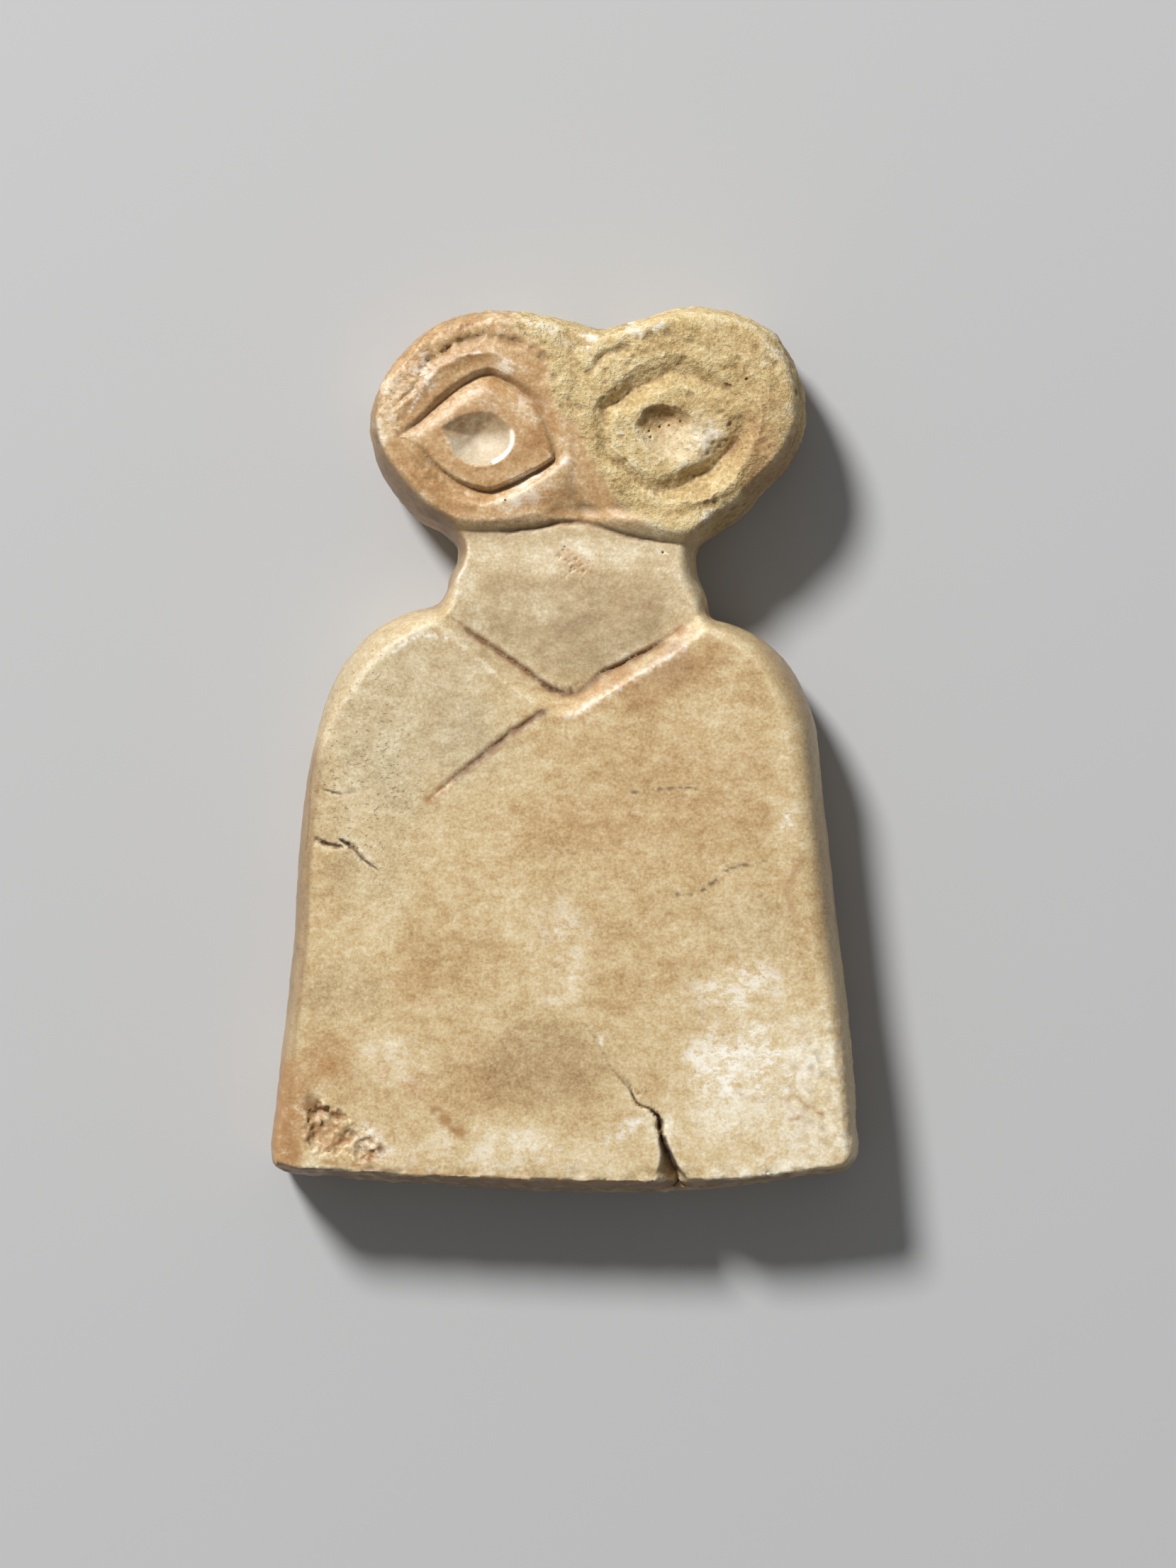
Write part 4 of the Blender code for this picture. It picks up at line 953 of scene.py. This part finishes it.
def paint_zones(mesh, places):
    """Where each tint lies, as values on the mesh's corners."""
    plan, height = places[:, :2], places[:, 2]
    rough, brow = worn_zones(places)
    head = ease((plan[:, 1] - 15.9) / 0.8)
    neck = ease((plan[:, 1] - 3.5) / 3.0) * (1 - head) * ease((9.5 - np.abs(plan[:, 0] - 0.5)) / 2)
    stands, facing = relief_of(mesh)
    distance, _, columns = nearest_on(outline_curve(), plan, closed=True)
    outward = np.where(height < 6, 1, 1 - np.clip(distance / columns[:, 0], 0, 1))
    on_rim = ease(outward / 0.3)
    on_face = ease((height - 5.5) / 2.5)
    # Tints drift where the sides fall away, so that none runs straight down them
    below = np.column_stack((plan, np.minimum(height - 8, 0)))
    drift = np.column_stack((clouds(below, 2.5, 4, 29), clouds(below, 2.5, 4, 30)))
    plan_below = plan + 2.6 * (1 - on_face)[:, None] * drift
    thin = thin_marks(plan_below)
    orange_blots = blots(plan_below, ORANGES) * (0.55 + 0.45 * on_face)
    # Darker down the sides: grime and painted shade
    side_grime_and_shade = (1 - on_face) * np.clip(0.35 + 0.9 * clouds(places, 5.0, 4, 26), 0, 1)
    patchy = np.clip(0.75 + 1.4 * clouds(below, 0.8, 3, 22), 0, 1.2)
    broken = np.clip(0.45 + 2.2 * clouds(plan, 0.35, 2, 23), 0, 1)
    wander = np.column_stack((clouds(plan, 1.2, 4, 24), clouds(plan, 1.2, 4, 25)))
    dark_patch = 1 - ease((share_of_way(plan + 0.35 * wander, *DARK_PATCH)[0] - 0.82) / 0.25)
    # The carved places that hold a tint
    pupil = ease(-hollow(plan, *LEFT_PUPIL) / 0.12)
    # Whiter where the lamp lights the pupil's floor: pale stone and painted light
    pupil_light = patch(plan, (-5.8, 21.8), (3.0, 1.4), 0, 0.4)
    worn_floor = patch(plan, (8.7, 22.6), (3.0, 1.7), 10, 0.5)
    shoulder = patch(plan, (-14.8, -1.0), (4.2, 9.0), 8, 0.4)
    near_chest = band(plan, CHEST_CUT, 0.7)
    split = ease(-cut(plan, BASE_SPLIT) / 0.4)
    chipped = np.clip(sum(ease(-hollow(plan, *shape) / shape[1] / 0.3) for shape in CORNER_CHIPS), 0, 1)
    cracked = sum(ease(-cut(plan, crack, 0.6) / 0.25) for crack in CRACKS)
    # Painted shade and dirt along the creases at the head's foot and the neckline, and dirt in the chest cut
    creases = (0.55 * band(plan, NECKLINE_CUT[1:-1], 0.22, 0.9) + 0.55 * band(plan, STEP_CUT[1:-1], 0.2, 0.9)
               + 0.75 * band(plan + (-0.06, 0.08), CHEST_CUT[:-1], 0.2, 0.9))
    whole_at_base = np.where(plan[:, 1] < -27, 1, broken)
    zones = {
        "mottles": np.clip(blots(plan_below, MOTTLES) - 0.5 * dark_patch, -1.5, 1.45),
        "yellow": rough * (1 - 0.85 * worn_floor) * (1 - 0.8 * np.clip(orange_blots, 0, 1)),
        "orange": np.clip(head * (1 - rough) * (1 - 0.15 * brow) * (1 - pupil) * 0.9 + orange_blots, 0, 1.3),
        "grey": np.clip(blots(plan, GREYS), 0, 1),
        "pink": np.maximum(0.85 * neck, np.maximum(pupil, 0.5 * worn_floor)),
        "rust": np.clip(blots(plan, RUSTS), 0, 1.4),
        "chalk": np.clip(blots(plan, CHALKS), 0, 1.4) * (0.3 + 0.7 * on_face),
        # Edge stains, and painted shade on the base face and on the rolls and sides that face away from the
        # lamp
        "edges": (np.clip(blots(plan, EDGE_STAINS_AND_SHADE), 0, 1.6) * on_rim * (0.5 + 0.5 * on_face)
                  + side_grime_and_shade + 1.9 * base_crust_and_shade(places, facing)),
        "pocked": np.clip(0.6 * shoulder + 0.55 * rough + 0.5 * brow, 0, 1),
        # Worn crests and painted highlight: paler where the surface stands proud of its neighbourhood
        "proud": (np.clip((stands - 0.012) / 0.05, 0, 1) * (1 - near_chest)
                  * (1 - 0.6 * on_rim * (1 - head))),
        # Dust and painted shade: darker where the surface lies below its neighbourhood
        "hollowed": np.clip((-stands - 0.008) / 0.06, 0, 1),
        # White chips, with painted highlights on lit crests and rims and on the pupil's lit floor
        "white_and_highlight": np.clip(0.9 * band(plan, PUPIL_CRESCENT, 0.16, 0.4) + 0.25 * pupil * pupil_light
                         + thin["white_and_highlight"] * broken * on_face, 0, 1),
        "brown": np.clip(thin["brown"] * patchy * (0.4 + 0.6 * on_face) + 0.2 * split + chipped * patchy,
                         0, 1.2),
        # Dirt in the cracks, the small holes and the dark marks, with painted shade along the creases
        "dirt_and_shade": np.clip(on_face * (cracked * (0.5 + 0.5 * patchy) + creases * (0.85 + 0.15 * patchy)
                                   + pinholes(plan) + thin["dirt_and_shade"] * whole_at_base), 0, 1),
    }
    for name, values in zones.items():
        layer = mesh.attributes.new(name, "FLOAT", "POINT")
        layer.data.foreach_set("value", np.clip(values, -2, 2).astype(np.float32))


mesh, places = carve_idol()
paint_zones(mesh, places)
mesh.materials.append(alabaster())
idol = put_in_scene("carved_idol", mesh)
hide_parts("eye_idol")
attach(idol, "root")


def lay_floor():
    ground = bmesh.new()
    bmesh.ops.create_grid(ground, x_segments=1, y_segments=1, size=FLOOR_HALF_WIDTH)
    mesh = bpy.data.meshes.new("floor")
    ground.to_mesh(mesh)
    ground.free()
    paper = Finish("pale_floor")
    paper.shader.inputs["Base Color"].default_value = (0.5, 0.5, 0.5, 1.0)
    paper.shader.inputs["Roughness"].default_value = 0.9
    mesh.materials.append(paper.material)
    put_in_scene("floor", mesh)


def light_and_camera():
    key = bpy.data.lights.new("key_light", "AREA")
    key.shape = "DISK"
    key.size = LAMP_WIDTH
    key.energy = 18.0
    lamp = put_in_scene("key_light", key)
    lamp.location = LAMP_PLACE
    lamp.rotation_euler = (-LAMP_PLACE).to_track_quat("-Z", "Y").to_euler()
    world = bpy.data.worlds.new("studio_light")
    world.use_nodes = True
    background = world.node_tree.nodes["Background"]
    background.inputs["Color"].default_value = (1.0, 1.0, 1.0, 1.0)
    background.inputs["Strength"].default_value = 0.2
    bpy.context.scene.world = world
    lens = bpy.data.cameras.new("camera")
    lens.lens = 139.1
    lens.clip_start = 0.01
    camera = put_in_scene("camera", lens)
    camera.location = CAMERA_PLACE
    bpy.context.scene.camera = camera
    bpy.context.scene.view_settings.view_transform = "Standard"


lay_floor()
light_and_camera()

bpy.context.view_layer.update()
